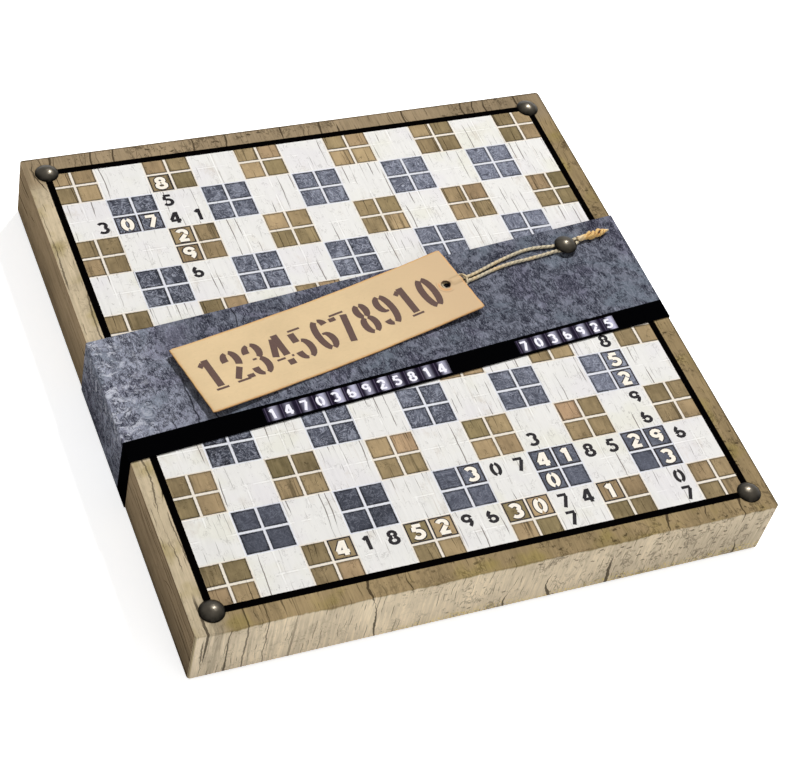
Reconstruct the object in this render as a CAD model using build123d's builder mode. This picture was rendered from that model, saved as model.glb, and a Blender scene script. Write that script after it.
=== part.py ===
"""Travel case of a word tile game: a flat square greyboard box with a full-depth lift-off lid.

The lid is wrapped in printed paper and has a domed stud at each corner. A skewed paper band
hooks round it, and a card tag swings on a loop of twine from a brad in the band. The base holds
the folded game board and an insert tray with the letter tiles, the tile racks, the folded rules
and a cloth pouch.

Millimetres. X runs left to right along the front edge, Y from front to back and Z up. The origin
is on the table, under the middle of the case.
"""

import os
from math import asin, cos, pi, radians, sin, tan

from build123d import *

# Case
case_width = 250.0
case_depth = 250.0
case_height = 30.0  # table to the top of the lid
rim_lift = 1.5  # lid rim above the table
corner_radius = 1.4
board = 2.0  # greyboard
paper = 0.3  # wrap paper
turn_in = 14.0  # wrap folded round the rim and glued inside
stay_tape = 0.15  # corner tape, pressed into the board
stay_leg = 18.0
seat_gap = 0.05  # base rim to the underside of the lid

# Corner studs
stud_inset = 9.5  # stud centre from the two edges of the lid
stud_diameter = 11.0
stud_rise = 2.6
stud_wall = 0.8
shank_diameter = 2.2
shank_play = 0.1  # all round the shank in its hole
washer_diameter = 6.0
washer_thickness = 0.5
peen_diameter = 3.2
peen_thickness = 0.5

# Band
band_paper = 0.3
band_width = 62.0  # along Y
band_offset = -0.5  # its middle line from the middle of the lid
band_skew = 5.2  # degrees, rising to the back on the right
band_side_play = 0.1  # off the sides and the rim of the lid
band_top_play = 0.3  # off the top of the lid, for the legs of the brad
band_flap_play = 0.3  # off the inside of the lid
band_flap = 12.0  # end of the band, tucked up inside the lid
slip_gap = 0.4  # band flap to the base

# Brad that pins the twine to the band
brad_inset = 29.7  # from the right side of the lid
brad_edge_inset = 11.6  # from the back edge of the band
brad_diameter = 10.6
brad_rise = 2.6
brad_leg_length = 8.5
brad_leg_width = 2.6
brad_leg_thickness = 0.2
brad_leg_lift = 0.05  # legs off the top of the lid

# Tag
tag_length = 134.5
tag_width = 36.0
tag_card = 0.6
tag_curl = 2.6  # rise of both ends above the middle
tag_turn = 12.6  # degrees
tag_hole_diameter = 4.4
tag_hole_from_brad = (-63.2, -11.6)  # along X and Y
tag_hole_inset = 8.2
tag_lift = 0.05  # middle of the tag off the band

# Twine
twine_diameter = 1.6
twine_lift = 0.1  # off the band
hitch_diameter = 1.2
tail_root_diameter = 2.4
tail_belly_diameter = 3.0
tail_tip_diameter = 0.8
tail_length = 17.0
tail_belly_place = 0.4  # share of the length from the root
tail_from_brad = (7.0, 2.3)  # its root, along X and Y
tail_turn = 8.7  # degrees

# Game board, folded in four
panel_thickness = 1.9
panel_play = 0.8  # board and insert off the inside of the base
tape_thickness = 0.3
tape_lap = 9.0

# Insert tray and its dividers
insert_card = 0.8
insert_top_play = 1.8  # below the ends of the studs
divider_card = 2.0
divider_drop = 0.2  # tops of dividers and racks below the top of the insert
divider_tab_play = 0.1  # the short divider's tab in the slot of the long one
notch_radius = 11.0  # thumb notches in the tops of the dividers
notch_depth = 9.0
rack_bay_width = 79.0
pouch_bay_depth = 78.0

# Letter tiles
tile_size = 15.0
tile_thickness = 4.5
tile_corner = 1.2
tile_gap = 0.1

# Tile racks
rack_count = 4
rack_length = 186.0
rack_depth = 19.0
rack_gap = 0.5
rack_lip_width = 1.8
rack_lip_height = 5.0
rack_ledge_front = 3.6  # height of the ledge behind the lip
rack_ledge_back = 2.2  # height of the ledge at the foot of the slope
rack_ledge_depth = 5.8
rack_slope_depth = 4.4
rack_top_width = 2.4
rack_back_foot = 1.2
rack_rounding = 0.9

# Rules and pouch
rules_end_play = 6.7  # off the ends of their bay
rules_side_play = 4.0
rules_thickness = 0.8
pouch_end_play = 8.7
pouch_side_play = 6.0
pouch_thickness = 9.0
pouch_corner = 9.0
pouch_edge = 2.6

# Levels and inner sizes that follow
lid_top = case_height
lid_board_top = lid_top - paper
lid_ceiling = lid_board_top - board
lid_wall = paper + board  # wrap and greyboard, above the turn-in
lid_inset = lid_wall + paper  # with the turn-in
base_inset = lid_inset + band_flap_play + band_paper + slip_gap
base_width = case_width - 2 * base_inset
base_depth = case_depth - 2 * base_inset
base_rim = lid_ceiling - seat_gap
floor_top = paper + board
inner_width = base_width - 2 * lid_inset
inner_depth = base_depth - 2 * lid_inset
band_under = lid_top + band_top_play
band_top = band_under + band_paper
insert_bottom = floor_top + 4 * panel_thickness
insert_floor = insert_bottom + insert_card
washer_bottom = lid_ceiling - washer_thickness
peen_bottom = washer_bottom - peen_thickness
insert_top = peen_bottom - insert_top_play
divider_top = insert_top - divider_drop
divider_height = divider_top - insert_floor
insert_width = inner_width - 2 * panel_play
insert_depth = inner_depth - 2 * panel_play
bay_left = -insert_width / 2 + insert_card
bay_right = insert_width / 2 - insert_card
bay_front = -insert_depth / 2 + insert_card
bay_back = insert_depth / 2 - insert_card
long_divider_x = bay_right - rack_bay_width - divider_card / 2
short_divider_y = bay_front + pouch_bay_depth + divider_card / 2
well_right = long_divider_x - divider_card / 2
well_front = short_divider_y + divider_card / 2
left_bays_x = (bay_left + well_right) / 2
pouch_bay_y = bay_front + pouch_bay_depth / 2
rack_back_end = bay_back - rack_gap
rack_front_end = rack_back_end - rack_length
through = case_height * 2  # longer than any cut that goes right through

os.makedirs("parts", exist_ok=True)


def keep(piece, name):
    """Label a finished piece and write it to its own file."""
    piece.part.label = name
    export_step(piece.part, f"parts/{name}.step")


def block(width, depth, bottom, top, radius=0.0, mode=Mode.ADD):
    """An upright block centred on the case, with rounded upright edges where a radius is given."""
    with BuildSketch(Plane.XY.offset(bottom)) as outline:
        if radius > 0:
            RectangleRounded(width, depth, radius)
        else:
            Rectangle(width, depth)
    extrude(outline.sketch, amount=top - bottom, mode=mode)


def corner_blocks(width, depth, leg, bottom, top, mode):
    """Four square blocks, one over each corner of a rectangle and leg wide inside it."""
    with BuildSketch(Plane.XY.offset(bottom)) as corners:
        with GridLocations(width - leg, depth - leg, 2, 2):
            Rectangle(leg, leg)
    extrude(corners.sketch, amount=top - bottom, mode=mode)


def upright_plane(x, y):
    """A plane through a vertical axis at x, y: its own x is X, and its own y is Z."""
    return Plane(origin=(x, y, 0), x_dir=(1, 0, 0), z_dir=(0, -1, 0))


def board_tray(width, depth, bottom, top, radius, closed_at_top):
    """A greyboard tray folded from one blank, with a pocket for the tape on each corner."""
    wall_bottom = bottom if closed_at_top else bottom + board
    wall_top = top - board if closed_at_top else top
    block(width, depth, bottom, top, radius)
    block(width - 2 * board, depth - 2 * board, wall_bottom, wall_top, mode=Mode.SUBTRACT)


def corner_tapes(width, depth, bottom, top, radius):
    """Four angle strips of tape that lie flush in the outside corners of a greyboard tray."""
    block(width, depth, bottom, top, radius)
    block(
        width - 2 * stay_tape,
        depth - 2 * stay_tape,
        bottom,
        top,
        radius - stay_tape,
        mode=Mode.SUBTRACT,
    )
    corner_blocks(width, depth, stay_leg, bottom, top, Mode.INTERSECT)


def cap_arc(radius, seat, rise):
    """Half of the section of a spherical cap, from its rim up to the axis."""
    ball = (radius**2 + rise**2) / (2 * rise)
    half_angle = asin(radius / ball) / 2
    middle = (ball * sin(half_angle), seat + rise - ball + ball * cos(half_angle))
    return ThreePointArc((radius, seat), middle, (0, seat + rise))


def domed_pin(x, y, seat, diameter, rise, shank):
    """A pin turned about the vertical axis at x, y. Its hollow domed head has its rim on seat,
    and its shank is a list of (diameter, bottom, top)."""
    with BuildSketch(upright_plane(x, y)) as profile:
        with BuildLine():
            outer = cap_arc(diameter / 2, seat, rise)
            inner = cap_arc(diameter / 2 - stud_wall, seat, rise - stud_wall)
            Line(outer @ 0, inner @ 0)
            Line(outer @ 1, inner @ 1)
        make_face()
        for rod_diameter, bottom, top in shank:
            with Locations((0, bottom)):
                Rectangle(rod_diameter / 2, top - bottom, align=(Align.MIN, Align.MIN))
    revolve(profile.sketch, axis=Axis((x, y, 0), (0, 0, 1)))


def rod(x, y, diameter, bottom, top, mode=Mode.ADD):
    """An upright round rod, or the hole for one."""
    with BuildSketch(Plane.XY.offset(bottom)) as section:
        with Locations((x, y)):
            Circle(diameter / 2)
    extrude(section.sketch, amount=top - bottom, mode=mode)


stud_x = case_width / 2 - stud_inset
stud_y = case_depth / 2 - stud_inset
stud_places = [(sx * stud_x, sy * stud_y) for sx in (-1, 1) for sy in (-1, 1)]
hole_diameter = shank_diameter + 2 * shank_play


def stud_holes():
    """The four holes for the studs' shanks, through the top of the lid."""
    for x, y in stud_places:
        rod(x, y, hole_diameter, lid_ceiling, lid_top, Mode.SUBTRACT)


# Lid
lid_rim = rim_lift
lid_board_width = case_width - 2 * paper
lid_board_depth = case_depth - 2 * paper
lid_board_radius = corner_radius - paper

with BuildPart() as lid_corner_tapes:
    corner_tapes(
        lid_board_width, lid_board_depth, lid_rim + paper, lid_board_top, lid_board_radius
    )
keep(lid_corner_tapes, "lid_corner_tapes")

with BuildPart() as lid_board:
    board_tray(
        lid_board_width,
        lid_board_depth,
        lid_rim + paper,
        lid_board_top,
        lid_board_radius,
        closed_at_top=True,
    )
    add(lid_corner_tapes.part, mode=Mode.SUBTRACT)
    stud_holes()
keep(lid_board, "lid_board")

with BuildPart() as lid_wrap:
    block(case_width, case_depth, lid_rim, lid_top, corner_radius)
    block(
        lid_board_width,
        lid_board_depth,
        lid_rim + paper,
        lid_board_top,
        lid_board_radius,
        mode=Mode.SUBTRACT,
    )
    block(
        case_width - 2 * lid_wall,
        case_depth - 2 * lid_wall,
        lid_rim,
        lid_rim + turn_in,
        mode=Mode.ADD,
    )
    block(
        case_width - 2 * lid_inset,
        case_depth - 2 * lid_inset,
        lid_rim,
        lid_rim + turn_in,
        mode=Mode.SUBTRACT,
    )
    stud_holes()
keep(lid_wrap, "lid_wrap")

with BuildPart() as corner_studs:
    for x, y in stud_places:
        shank = [
            (shank_diameter, washer_bottom, lid_top + stud_rise - stud_wall / 2),
            (peen_diameter, peen_bottom, washer_bottom),
        ]
        domed_pin(x, y, lid_top, stud_diameter, stud_rise, shank)
keep(corner_studs, "corner_studs")

with BuildPart() as stud_washers:
    for x, y in stud_places:
        rod(x, y, washer_diameter, washer_bottom, lid_ceiling)
        rod(x, y, hole_diameter, washer_bottom, lid_ceiling, Mode.SUBTRACT)
keep(stud_washers, "stud_washers")

# Band: a strip hooked round the lid, cut off at both sides by two slanting upright planes
strip_outer_x = case_width / 2 + band_side_play
strip_inner_x = case_width / 2 - lid_inset - band_flap_play
strip_under = lid_rim - band_side_play
skew_rise = tan(radians(band_skew))


def band_edge_y(x, side):
    """Where the front (side -1) or back (side 1) edge of the band lies on the top, at x."""
    return band_offset + side * band_width / 2 + x * skew_rise


reach = case_width  # beyond the strip on both sides
brad_x = case_width / 2 - brad_inset
brad_y = band_edge_y(brad_x, 1) - brad_edge_inset

with BuildPart() as band:
    with BuildSketch(upright_plane(0, 0)):
        with BuildLine():
            Polyline(
                (-strip_inner_x, strip_under + band_flap),
                (-strip_inner_x, strip_under),
                (-strip_outer_x, strip_under),
                (-strip_outer_x, band_under),
                (strip_outer_x, band_under),
                (strip_outer_x, strip_under),
                (strip_inner_x, strip_under),
                (strip_inner_x, strip_under + band_flap),
            )
            offset(amount=band_paper, kind=Kind.INTERSECTION, side=Side.LEFT)
        make_face()
    extrude(amount=case_depth / 2, both=True)
    with BuildSketch(Plane.XY):
        with BuildLine():
            Polyline(
                (-reach, band_edge_y(-reach, -1)),
                (reach, band_edge_y(reach, -1)),
                (reach, band_edge_y(reach, 1)),
                (-reach, band_edge_y(-reach, 1)),
                close=True,
            )
        make_face()
    extrude(amount=through, mode=Mode.INTERSECT)
    rod(brad_x, brad_y, hole_diameter, band_under, band_top, Mode.SUBTRACT)
keep(band, "band")

# Brad: a domed head on a neck, with two legs splayed flat under the band
brad_seat = band_top + twine_lift + twine_diameter + twine_lift
leg_bottom = lid_top + brad_leg_lift

with BuildPart() as brad:
    neck = [(shank_diameter, leg_bottom, brad_seat + brad_rise - stud_wall / 2)]
    domed_pin(brad_x, brad_y, brad_seat, brad_diameter, brad_rise, neck)
    with BuildSketch(Plane.XY.offset(leg_bottom)):
        with Locations((brad_x, brad_y)):
            SlotCenterToCenter(2 * brad_leg_length, brad_leg_width, rotation=90)
    extrude(amount=brad_leg_thickness)
keep(brad, "brad")

# Tag: a card strip with a gentle curl, its middle on the band. It is placed by its hole.
tag_hole_x = brad_x + tag_hole_from_brad[0]
tag_hole_y = brad_y + tag_hole_from_brad[1]
tag_hole_reach = tag_length / 2 - tag_hole_inset  # from the middle of the tag
tag_x = tag_hole_x - tag_hole_reach * cos(radians(tag_turn))
tag_y = tag_hole_y - tag_hole_reach * sin(radians(tag_turn))


def side_plane(x, y, z, turn):
    """An upright plane through x, y, z: its own x is X turned about Z, and its own y is Z."""
    angle = radians(turn)
    return Plane(
        origin=(x, y, z), x_dir=(cos(angle), sin(angle), 0), z_dir=(sin(angle), -cos(angle), 0)
    )


with BuildPart() as tag:
    with BuildSketch(side_plane(tag_x, tag_y, band_top + tag_lift, tag_turn)):
        with BuildLine():
            ThreePointArc((-tag_length / 2, tag_curl), (0, 0), (tag_length / 2, tag_curl))
            offset(amount=tag_card, side=Side.LEFT)
        make_face()
    extrude(amount=tag_width / 2, both=True)
    rod(tag_hole_x, tag_hole_y, tag_hole_diameter, band_top, through, Mode.SUBTRACT)
keep(tag, "tag")

# Twine: one length that runs from the tail past the brad's neck to the tag, turns back under
# the tag's hole, and returns past the other side of the neck. Its points are along X and Y from
# the brad, and the hitch's are also along Z from the twine's middle.
twine_z = band_top + twine_lift + twine_diameter / 2
twine_points = [
    (6.86, 3.19),
    (3.4, 2.8),
    (-0.4, 2.4),
    (-5.1, 1.0),
    (-10.7, 1.7),
    (-18.5, 1.9),
    (-28.3, -0.5),
    (-39.1, -4.0),
    (-48.1, -7.3),
    (-54.7, -8.7),
    (-60.4, -8.7),
    (-64.4, -9.2),
    (-64.2, -12.9),
    (-59.9, -12.9),
    (-54.3, -10.8),
    (-47.3, -9.3),
    (-38.3, -6.4),
    (-28.7, -4.4),
    (-18.9, -3.7),
    (-10.3, -2.6),
    (-4.9, -1.7),
    (0.1, -2.5),
    (4.0, -0.3),
    (7.14, 1.41),
]
hitch_points = [
    (-59.5, -7.0, 0),
    (-55.3, -6.3, 0.05),
    (-53.3, -7.6, 1.75),
    (-52.5, -10.8, 1.75),
    (-53.8, -12.9, 0.05),
    (-58.0, -14.0, 0),
]

def arc_radii(points):
    """The radius of the arc at each inner point: 0.45 of its shorter run over the tangent of
    half the turn."""
    radii = []
    for before, here, after in zip(points, points[1:], points[2:]):
        run_in = Vector(*here) - Vector(*before)
        run_out = Vector(*after) - Vector(*here)
        turn = radians(run_in.get_angle(run_out))
        radii.append(0.45 * min(run_in.length, run_out.length) / tan(turn / 2))
    return radii


def cord_tube(points, diameter, name):
    """A round tube along straight runs joined by tangent arcs."""
    radii = arc_radii(points)
    with BuildPart() as tube:
        with BuildLine() as route:
            FilletPolyline(*points, radius=radii)
        line = route.wires()[0]
        with BuildSketch(Plane(origin=line @ 0, z_dir=line % 0)):
            Circle(diameter / 2)
        sweep(path=line)
    section = pi * diameter**2 / 4
    print(name, "radii", [round(r, 1) for r in radii], "length", round(line.length, 1))
    print(name, "volume", round(tube.part.volume, 2), "section x length", section * line.length)
    keep(tube, name)


loop_route = [(brad_x + x, brad_y + y, twine_z) for x, y in twine_points]
hitch_route = [(brad_x + x, brad_y + y, twine_z + z) for x, y, z in hitch_points]
cord_tube(loop_route, twine_diameter, "twine_loop")
cord_tube(hitch_route, hitch_diameter, "twine_hitch")

tail_plane = side_plane(
    brad_x + tail_from_brad[0],
    brad_y + tail_from_brad[1],
    band_top + twine_lift + tail_belly_diameter / 2,
    tail_turn,
)

with BuildPart() as twine_tail:
    with BuildSketch(tail_plane):
        with BuildLine():
            Polyline(
                (0, 0),
                (0, tail_root_diameter / 2),
                (tail_belly_place * tail_length, tail_belly_diameter / 2),
                (tail_length, tail_tip_diameter / 2),
                (tail_length, 0),
                close=True,
            )
        make_face()
    revolve(axis=Axis(tail_plane.origin, tail_plane.x_dir))
keep(twine_tail, "twine_tail")

# Base
base_board_width = base_width - 2 * paper
base_board_depth = base_depth - 2 * paper
base_board_radius = corner_radius - paper
base_board_top = base_rim - paper

with BuildPart() as base_corner_tapes:
    corner_tapes(
        base_board_width, base_board_depth, paper, base_board_top, base_board_radius
    )
keep(base_corner_tapes, "base_corner_tapes")

with BuildPart() as base_board:
    board_tray(
        base_board_width,
        base_board_depth,
        paper,
        base_board_top,
        base_board_radius,
        closed_at_top=False,
    )
    add(base_corner_tapes.part, mode=Mode.SUBTRACT)
keep(base_board, "base_board")

with BuildPart() as base_wrap:
    block(base_width, base_depth, paper, base_rim, corner_radius)
    block(
        base_board_width,
        base_board_depth,
        paper,
        base_board_top,
        base_board_radius,
        mode=Mode.SUBTRACT,
    )
    block(
        base_width - 2 * lid_wall,
        base_depth - 2 * lid_wall,
        base_rim - turn_in,
        base_rim,
    )
    block(
        inner_width,
        inner_depth,
        base_rim - turn_in,
        base_rim,
        mode=Mode.SUBTRACT,
    )
keep(base_wrap, "base_wrap")

with BuildPart() as base_bottom_sheet:
    block(base_width, base_depth, 0, paper, corner_radius)
keep(base_bottom_sheet, "base_bottom_sheet")

# Game board: four panels, joined in a chain by three tapes that each cover one folded edge.
# A tape laps over the lower panel's underside and the upper panel's top.
panel_width = insert_width - 2 * tape_thickness
panel_depth = insert_depth - 2 * tape_thickness
fold_edges = ["left", "back", "left"]  # between panels 1 and 2, 2 and 3, 3 and 4


def tape_block(edge, bottom, top, outside, lap, mode=Mode.ADD):
    """A block along a folded edge, from outside it to lap inside it."""
    if edge == "left":
        start = (-panel_width / 2 - outside, -panel_depth / 2)
        size = (outside + lap, panel_depth)
    else:
        start = (-panel_width / 2, panel_depth / 2 - lap)
        size = (panel_width, outside + lap)
    with BuildSketch(Plane.XY.offset(bottom)) as strip:
        with Locations(start):
            Rectangle(*size, align=(Align.MIN, Align.MIN))
    extrude(strip.sketch, amount=top - bottom, mode=mode)


for number in range(4):
    panel_bottom = floor_top + number * panel_thickness
    panel_top = panel_bottom + panel_thickness
    with BuildPart() as panel:
        block(panel_width, panel_depth, panel_bottom, panel_top)
        if number < 3:
            tape_block(
                fold_edges[number],
                panel_bottom,
                panel_bottom + tape_thickness,
                0,
                tape_lap,
                Mode.SUBTRACT,
            )
        if number > 0:
            tape_block(
                fold_edges[number - 1],
                panel_top - tape_thickness,
                panel_top,
                0,
                tape_lap,
                Mode.SUBTRACT,
            )
    keep(panel, f"board_panel_{number + 1}")

for number, edge in enumerate(fold_edges):
    fold_bottom = floor_top + number * panel_thickness
    fold_top = fold_bottom + 2 * panel_thickness
    with BuildPart() as hinge_tape:
        tape_block(edge, fold_bottom, fold_top, tape_thickness, tape_lap)
        tape_block(
            edge,
            fold_bottom + tape_thickness,
            fold_top - tape_thickness,
            0,
            tape_lap,
            Mode.SUBTRACT,
        )
    keep(hinge_tape, f"board_hinge_tape_{number + 1}")

# Insert tray and dividers
with BuildPart() as insert_tray:
    block(insert_width, insert_depth, insert_bottom, insert_top)
    block(
        insert_width - 2 * insert_card,
        insert_depth - 2 * insert_card,
        insert_floor,
        insert_top,
        mode=Mode.SUBTRACT,
    )
keep(insert_tray, "insert_tray")


def thumb_notch(x, y, rotation):
    """A round notch through the top of a divider, turned to lie across it."""
    with Locations((x, y, divider_top + notch_radius - notch_depth)):
        Cylinder(notch_radius, 2 * divider_card, rotation=rotation, mode=Mode.SUBTRACT)


with BuildPart() as long_divider:
    with BuildSketch(Plane.XY.offset(insert_floor)):
        with Locations((long_divider_x, bay_front)):
            Rectangle(divider_card, bay_back - bay_front, align=(Align.CENTER, Align.MIN))
    extrude(amount=divider_height)
    slot_height = divider_height / 2 + divider_tab_play
    with BuildSketch(Plane.XY.offset(divider_top - slot_height)):
        with Locations((long_divider_x, short_divider_y)):
            Rectangle(divider_card, divider_card + 2 * divider_tab_play)
    extrude(amount=slot_height, mode=Mode.SUBTRACT)
    thumb_notch(long_divider_x, (bay_front + rack_front_end) / 2, (0, 90, 0))
keep(long_divider, "long_divider")

with BuildPart() as short_divider:
    with BuildSketch(Plane.XY.offset(insert_floor)):
        with Locations((bay_left, short_divider_y)):
            Rectangle(well_right - bay_left, divider_card, align=(Align.MIN, Align.CENTER))
    extrude(amount=divider_height)
    with BuildSketch(Plane.XY.offset(insert_floor + divider_height / 2)):
        with Locations((well_right, short_divider_y)):
            Rectangle(divider_card, divider_card, align=(Align.MIN, Align.CENTER))
    extrude(amount=divider_height / 2)
    thumb_notch(left_bays_x, short_divider_y, (90, 0, 0))
keep(short_divider, "short_divider")

# Letter tiles: as many rows and columns as their bay holds
tile_pitch = tile_size + tile_gap
tile_columns = int((well_right - bay_left - tile_gap) / tile_pitch)
tile_rows = int((bay_back - well_front - tile_gap) / tile_pitch)

half = tile_size / 2
flat = half - tile_corner
tile_outline = [
    (sx * x, sy * y)
    for sx, sy, corner in [
        (1, 1, [(half, flat), (flat, half)]),
        (-1, 1, [(flat, half), (half, flat)]),
        (-1, -1, [(half, flat), (flat, half)]),
        (1, -1, [(flat, half), (half, flat)]),
    ]
    for x, y in corner
]

with BuildPart() as letter_tiles:
    with BuildSketch(Plane.XY.offset(insert_floor)):
        with Locations((left_bays_x, (well_front + bay_back) / 2)):
            with GridLocations(tile_pitch, tile_pitch, tile_columns, tile_rows):
                Polygon(*tile_outline)
    extrude(amount=tile_thickness)
keep(letter_tiles, "letter_tiles")

# Tile racks: a lip, a ledge and a slope that the tiles lean on
for number in range(rack_count):
    rack_front_x = bay_right - (number + 1) * (rack_depth + rack_gap)
    with BuildPart() as tile_rack:
        with BuildSketch(upright_plane(rack_front_x, rack_back_end)):
            slope_foot = rack_lip_width + rack_ledge_depth
            slope_top = slope_foot + rack_slope_depth
            with BuildLine():
                Polyline(
                    (0, insert_floor),
                    (0, insert_floor + rack_lip_height),
                    (rack_lip_width, insert_floor + rack_lip_height),
                    (rack_lip_width, insert_floor + rack_ledge_front),
                    (slope_foot, insert_floor + rack_ledge_back),
                    (slope_top, divider_top),
                    (slope_top + rack_top_width, divider_top),
                    (rack_depth, insert_floor + rack_back_foot),
                    (rack_depth, insert_floor),
                    close=True,
                )
            make_face()
        extrude(amount=rack_length)
        fillet(
            tile_rack.edges().filter_by(Axis.Y).group_by(Axis.Z)[-1],
            radius=rack_rounding,
        )
    keep(tile_rack, f"tile_rack_{number + 1}")

# Rules and pouch, in the bay in front of the tiles
with BuildPart() as rules_leaflet:
    with BuildSketch(Plane.XY.offset(insert_floor)):
        with Locations((left_bays_x, pouch_bay_y)):
            Rectangle(
                well_right - bay_left - 2 * rules_end_play,
                pouch_bay_depth - 2 * rules_side_play,
            )
    extrude(amount=rules_thickness)
keep(rules_leaflet, "rules_leaflet")

with BuildPart() as tile_pouch:
    with BuildSketch(Plane.XY.offset(insert_floor + rules_thickness)):
        with Locations((left_bays_x, pouch_bay_y)):
            RectangleRounded(
                well_right - bay_left - 2 * pouch_end_play,
                pouch_bay_depth - 2 * pouch_side_play,
                pouch_corner,
            )
    extrude(amount=pouch_thickness)
    chamfer(tile_pouch.edges().group_by(Axis.Z)[-1], pouch_edge)
keep(tile_pouch, "tile_pouch")
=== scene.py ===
"""Looks of a word tile case: a flat box with a printed lid, four domed studs, a paper band, and a
card tag on a loop of twine, with the board, tiles, racks, rules and pouch inside.

Each operator dresses one piece or a group of like pieces. New pieces are surfaces worked out in
millimetres with numpy and stored in metres. Printed pieces keep their solids, with soft edges.
"""

import math

import bmesh
import bpy
import numpy as np
from bpy.props import FloatProperty, FloatVectorProperty, IntProperty, PointerProperty
from mathutils import Matrix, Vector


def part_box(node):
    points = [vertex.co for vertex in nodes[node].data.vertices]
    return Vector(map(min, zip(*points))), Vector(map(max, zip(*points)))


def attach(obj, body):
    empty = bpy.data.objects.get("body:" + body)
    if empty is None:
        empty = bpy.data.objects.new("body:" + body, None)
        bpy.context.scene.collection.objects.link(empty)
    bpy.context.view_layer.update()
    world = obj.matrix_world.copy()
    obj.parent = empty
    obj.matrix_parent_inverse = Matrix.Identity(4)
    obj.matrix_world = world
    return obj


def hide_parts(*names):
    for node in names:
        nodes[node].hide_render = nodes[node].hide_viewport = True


bl_info = {
    "name": "Word Tile Case",
    "version": (1, 0, 0),
    "blender": (4, 5, 0),
    "location": "View3D > Sidebar > Tile Case",
    "description": "Dresses the solids of a word tile case and sets its stage",
    "category": "Object",
}

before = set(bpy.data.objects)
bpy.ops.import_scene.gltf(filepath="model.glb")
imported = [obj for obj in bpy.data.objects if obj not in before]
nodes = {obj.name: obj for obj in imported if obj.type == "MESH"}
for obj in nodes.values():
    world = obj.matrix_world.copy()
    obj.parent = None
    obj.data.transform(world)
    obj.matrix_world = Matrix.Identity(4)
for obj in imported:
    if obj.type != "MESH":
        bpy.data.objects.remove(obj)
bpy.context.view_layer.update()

MM = 0.001


def tone(red, green, blue):
    """A colour given as 0 to 255 on screen, as the linear values that shaders use."""
    parts = (red / 255, green / 255, blue / 255)
    return tuple(v / 12.92 if v < 0.04045 else ((v + 0.055) / 1.055) ** 2.4 for v in parts)


def colour_property(name, description, red, green, blue):
    """A colour that the user can change."""
    return FloatVectorProperty(
        name=name,
        description=description,
        subtype="COLOR",
        size=3,
        min=0.0,
        max=1.0,
        default=tone(red, green, blue),
    )


def size_property(name, description, millimetres):
    """A length that the user can change."""
    return FloatProperty(
        name=name,
        description=description,
        default=millimetres * MM,
        min=0.0,
        subtype="DISTANCE",
        unit="LENGTH",
        precision=5,
    )


def angle_property(name, description, degrees):
    """An angle that the user can change."""
    return FloatProperty(
        name=name, description=description, default=math.radians(degrees), subtype="ANGLE"
    )


class LidPrintLook(bpy.types.PropertyGroup):
    """Print on the lid: a frame of old wood, a black line and a field of squares."""

    cell_pitch: size_property("Cell pitch", "From one cell of the field to the next", 10.6)
    cell_side: size_property("Cell side", "Side of a coloured cell", 9.5)
    field_half: size_property("Half field", "Middle of the lid to the black line", 114.25)
    line_width: size_property("Line width", "Width of the black line", 3.0)
    white: colour_property("White", "Whitewashed squares", 224, 222, 218)
    brown: colour_property("Brown", "Brown cells", 160, 140, 106)
    slate: colour_property("Slate", "Slate cells", 96, 99, 111)
    left_rail: colour_property("Left rail", "Wood along the left edge", 188, 172, 144)
    rail: colour_property("Rails", "Wood along the other edges", 152, 132, 98)
    front: colour_property("Front", "Wood on the front and back", 214, 198, 171)
    # Printed darker than the front and back, partly as painted shade on the sides
    side: colour_property("Sides", "Wood on the left and right", 150, 130, 102)
    crack: colour_property("Cracks", "Cracks and specks in the wood", 48, 38, 28)


class BandLook(bpy.types.PropertyGroup):
    """Paper band round the lid."""

    slate: colour_property("Slate", "Main tone of the band", 105, 108, 119)
    pale: colour_property("Pale marks", "Scratches and scuffs", 148, 151, 165)
    dark: colour_property("Dark marks", "Hollows and cracks", 36, 37, 48)
    stripe: colour_property("Stripe", "Black stripe along the front edge", 3, 3, 4)
    stripe_width: size_property("Stripe width", "Width of the black stripe", 9.8)


class TagLook(bpy.types.PropertyGroup):
    """Card tag and its print."""

    card: colour_property("Card", "Cream card", 214, 187, 144)
    edge: colour_property("Edge", "Card near its edges", 214, 160, 96)
    ink: colour_property("Ink", "Stencilled numerals", 92, 70, 63)
    numeral_height: size_property("Numeral height", "Height of the stencilled numerals", 17.4)


class TwineLook(bpy.types.PropertyGroup):
    """Twine from the tag past the brad, with its tail."""

    straw: colour_property("Straw", "Main tone of the twine", 208, 196, 168)
    # Dark fibres, and painted shade in the grooves between the strands
    shade: colour_property("Shade", "Between the fibres", 96, 82, 58)
    gold: colour_property("Gold", "Tail of the twine", 226, 184, 112)
    lay: size_property("Lay", "Length of one turn of its strands", 7.0)


class MetalLook(bpy.types.PropertyGroup):
    """Studs and brad."""

    pewter: colour_property("Pewter", "Dark pewter of the heads", 74, 69, 61)
    roughness: FloatProperty(
        name="Roughness", description="Of the heads", default=0.31, min=0.0, max=1.0
    )
    head_steps: IntProperty(
        name="Head steps", description="Sides of a turned head", default=64, min=12, max=256
    )


class InsideLook(bpy.types.PropertyGroup):
    """What the box holds."""

    greyboard: colour_property("Greyboard", "Raw board", 150, 144, 134)
    card: colour_property("Card", "White-lined card of the insert", 224, 221, 213)
    maple: colour_property("Maple", "Letter tiles", 214, 184, 138)
    beech: colour_property("Beech", "Tile racks", 178, 132, 88)
    cotton: colour_property("Cotton", "Pouch", 104, 112, 128)
    ink: colour_property("Ink", "Numerals on the tiles", 44, 40, 38)


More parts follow.
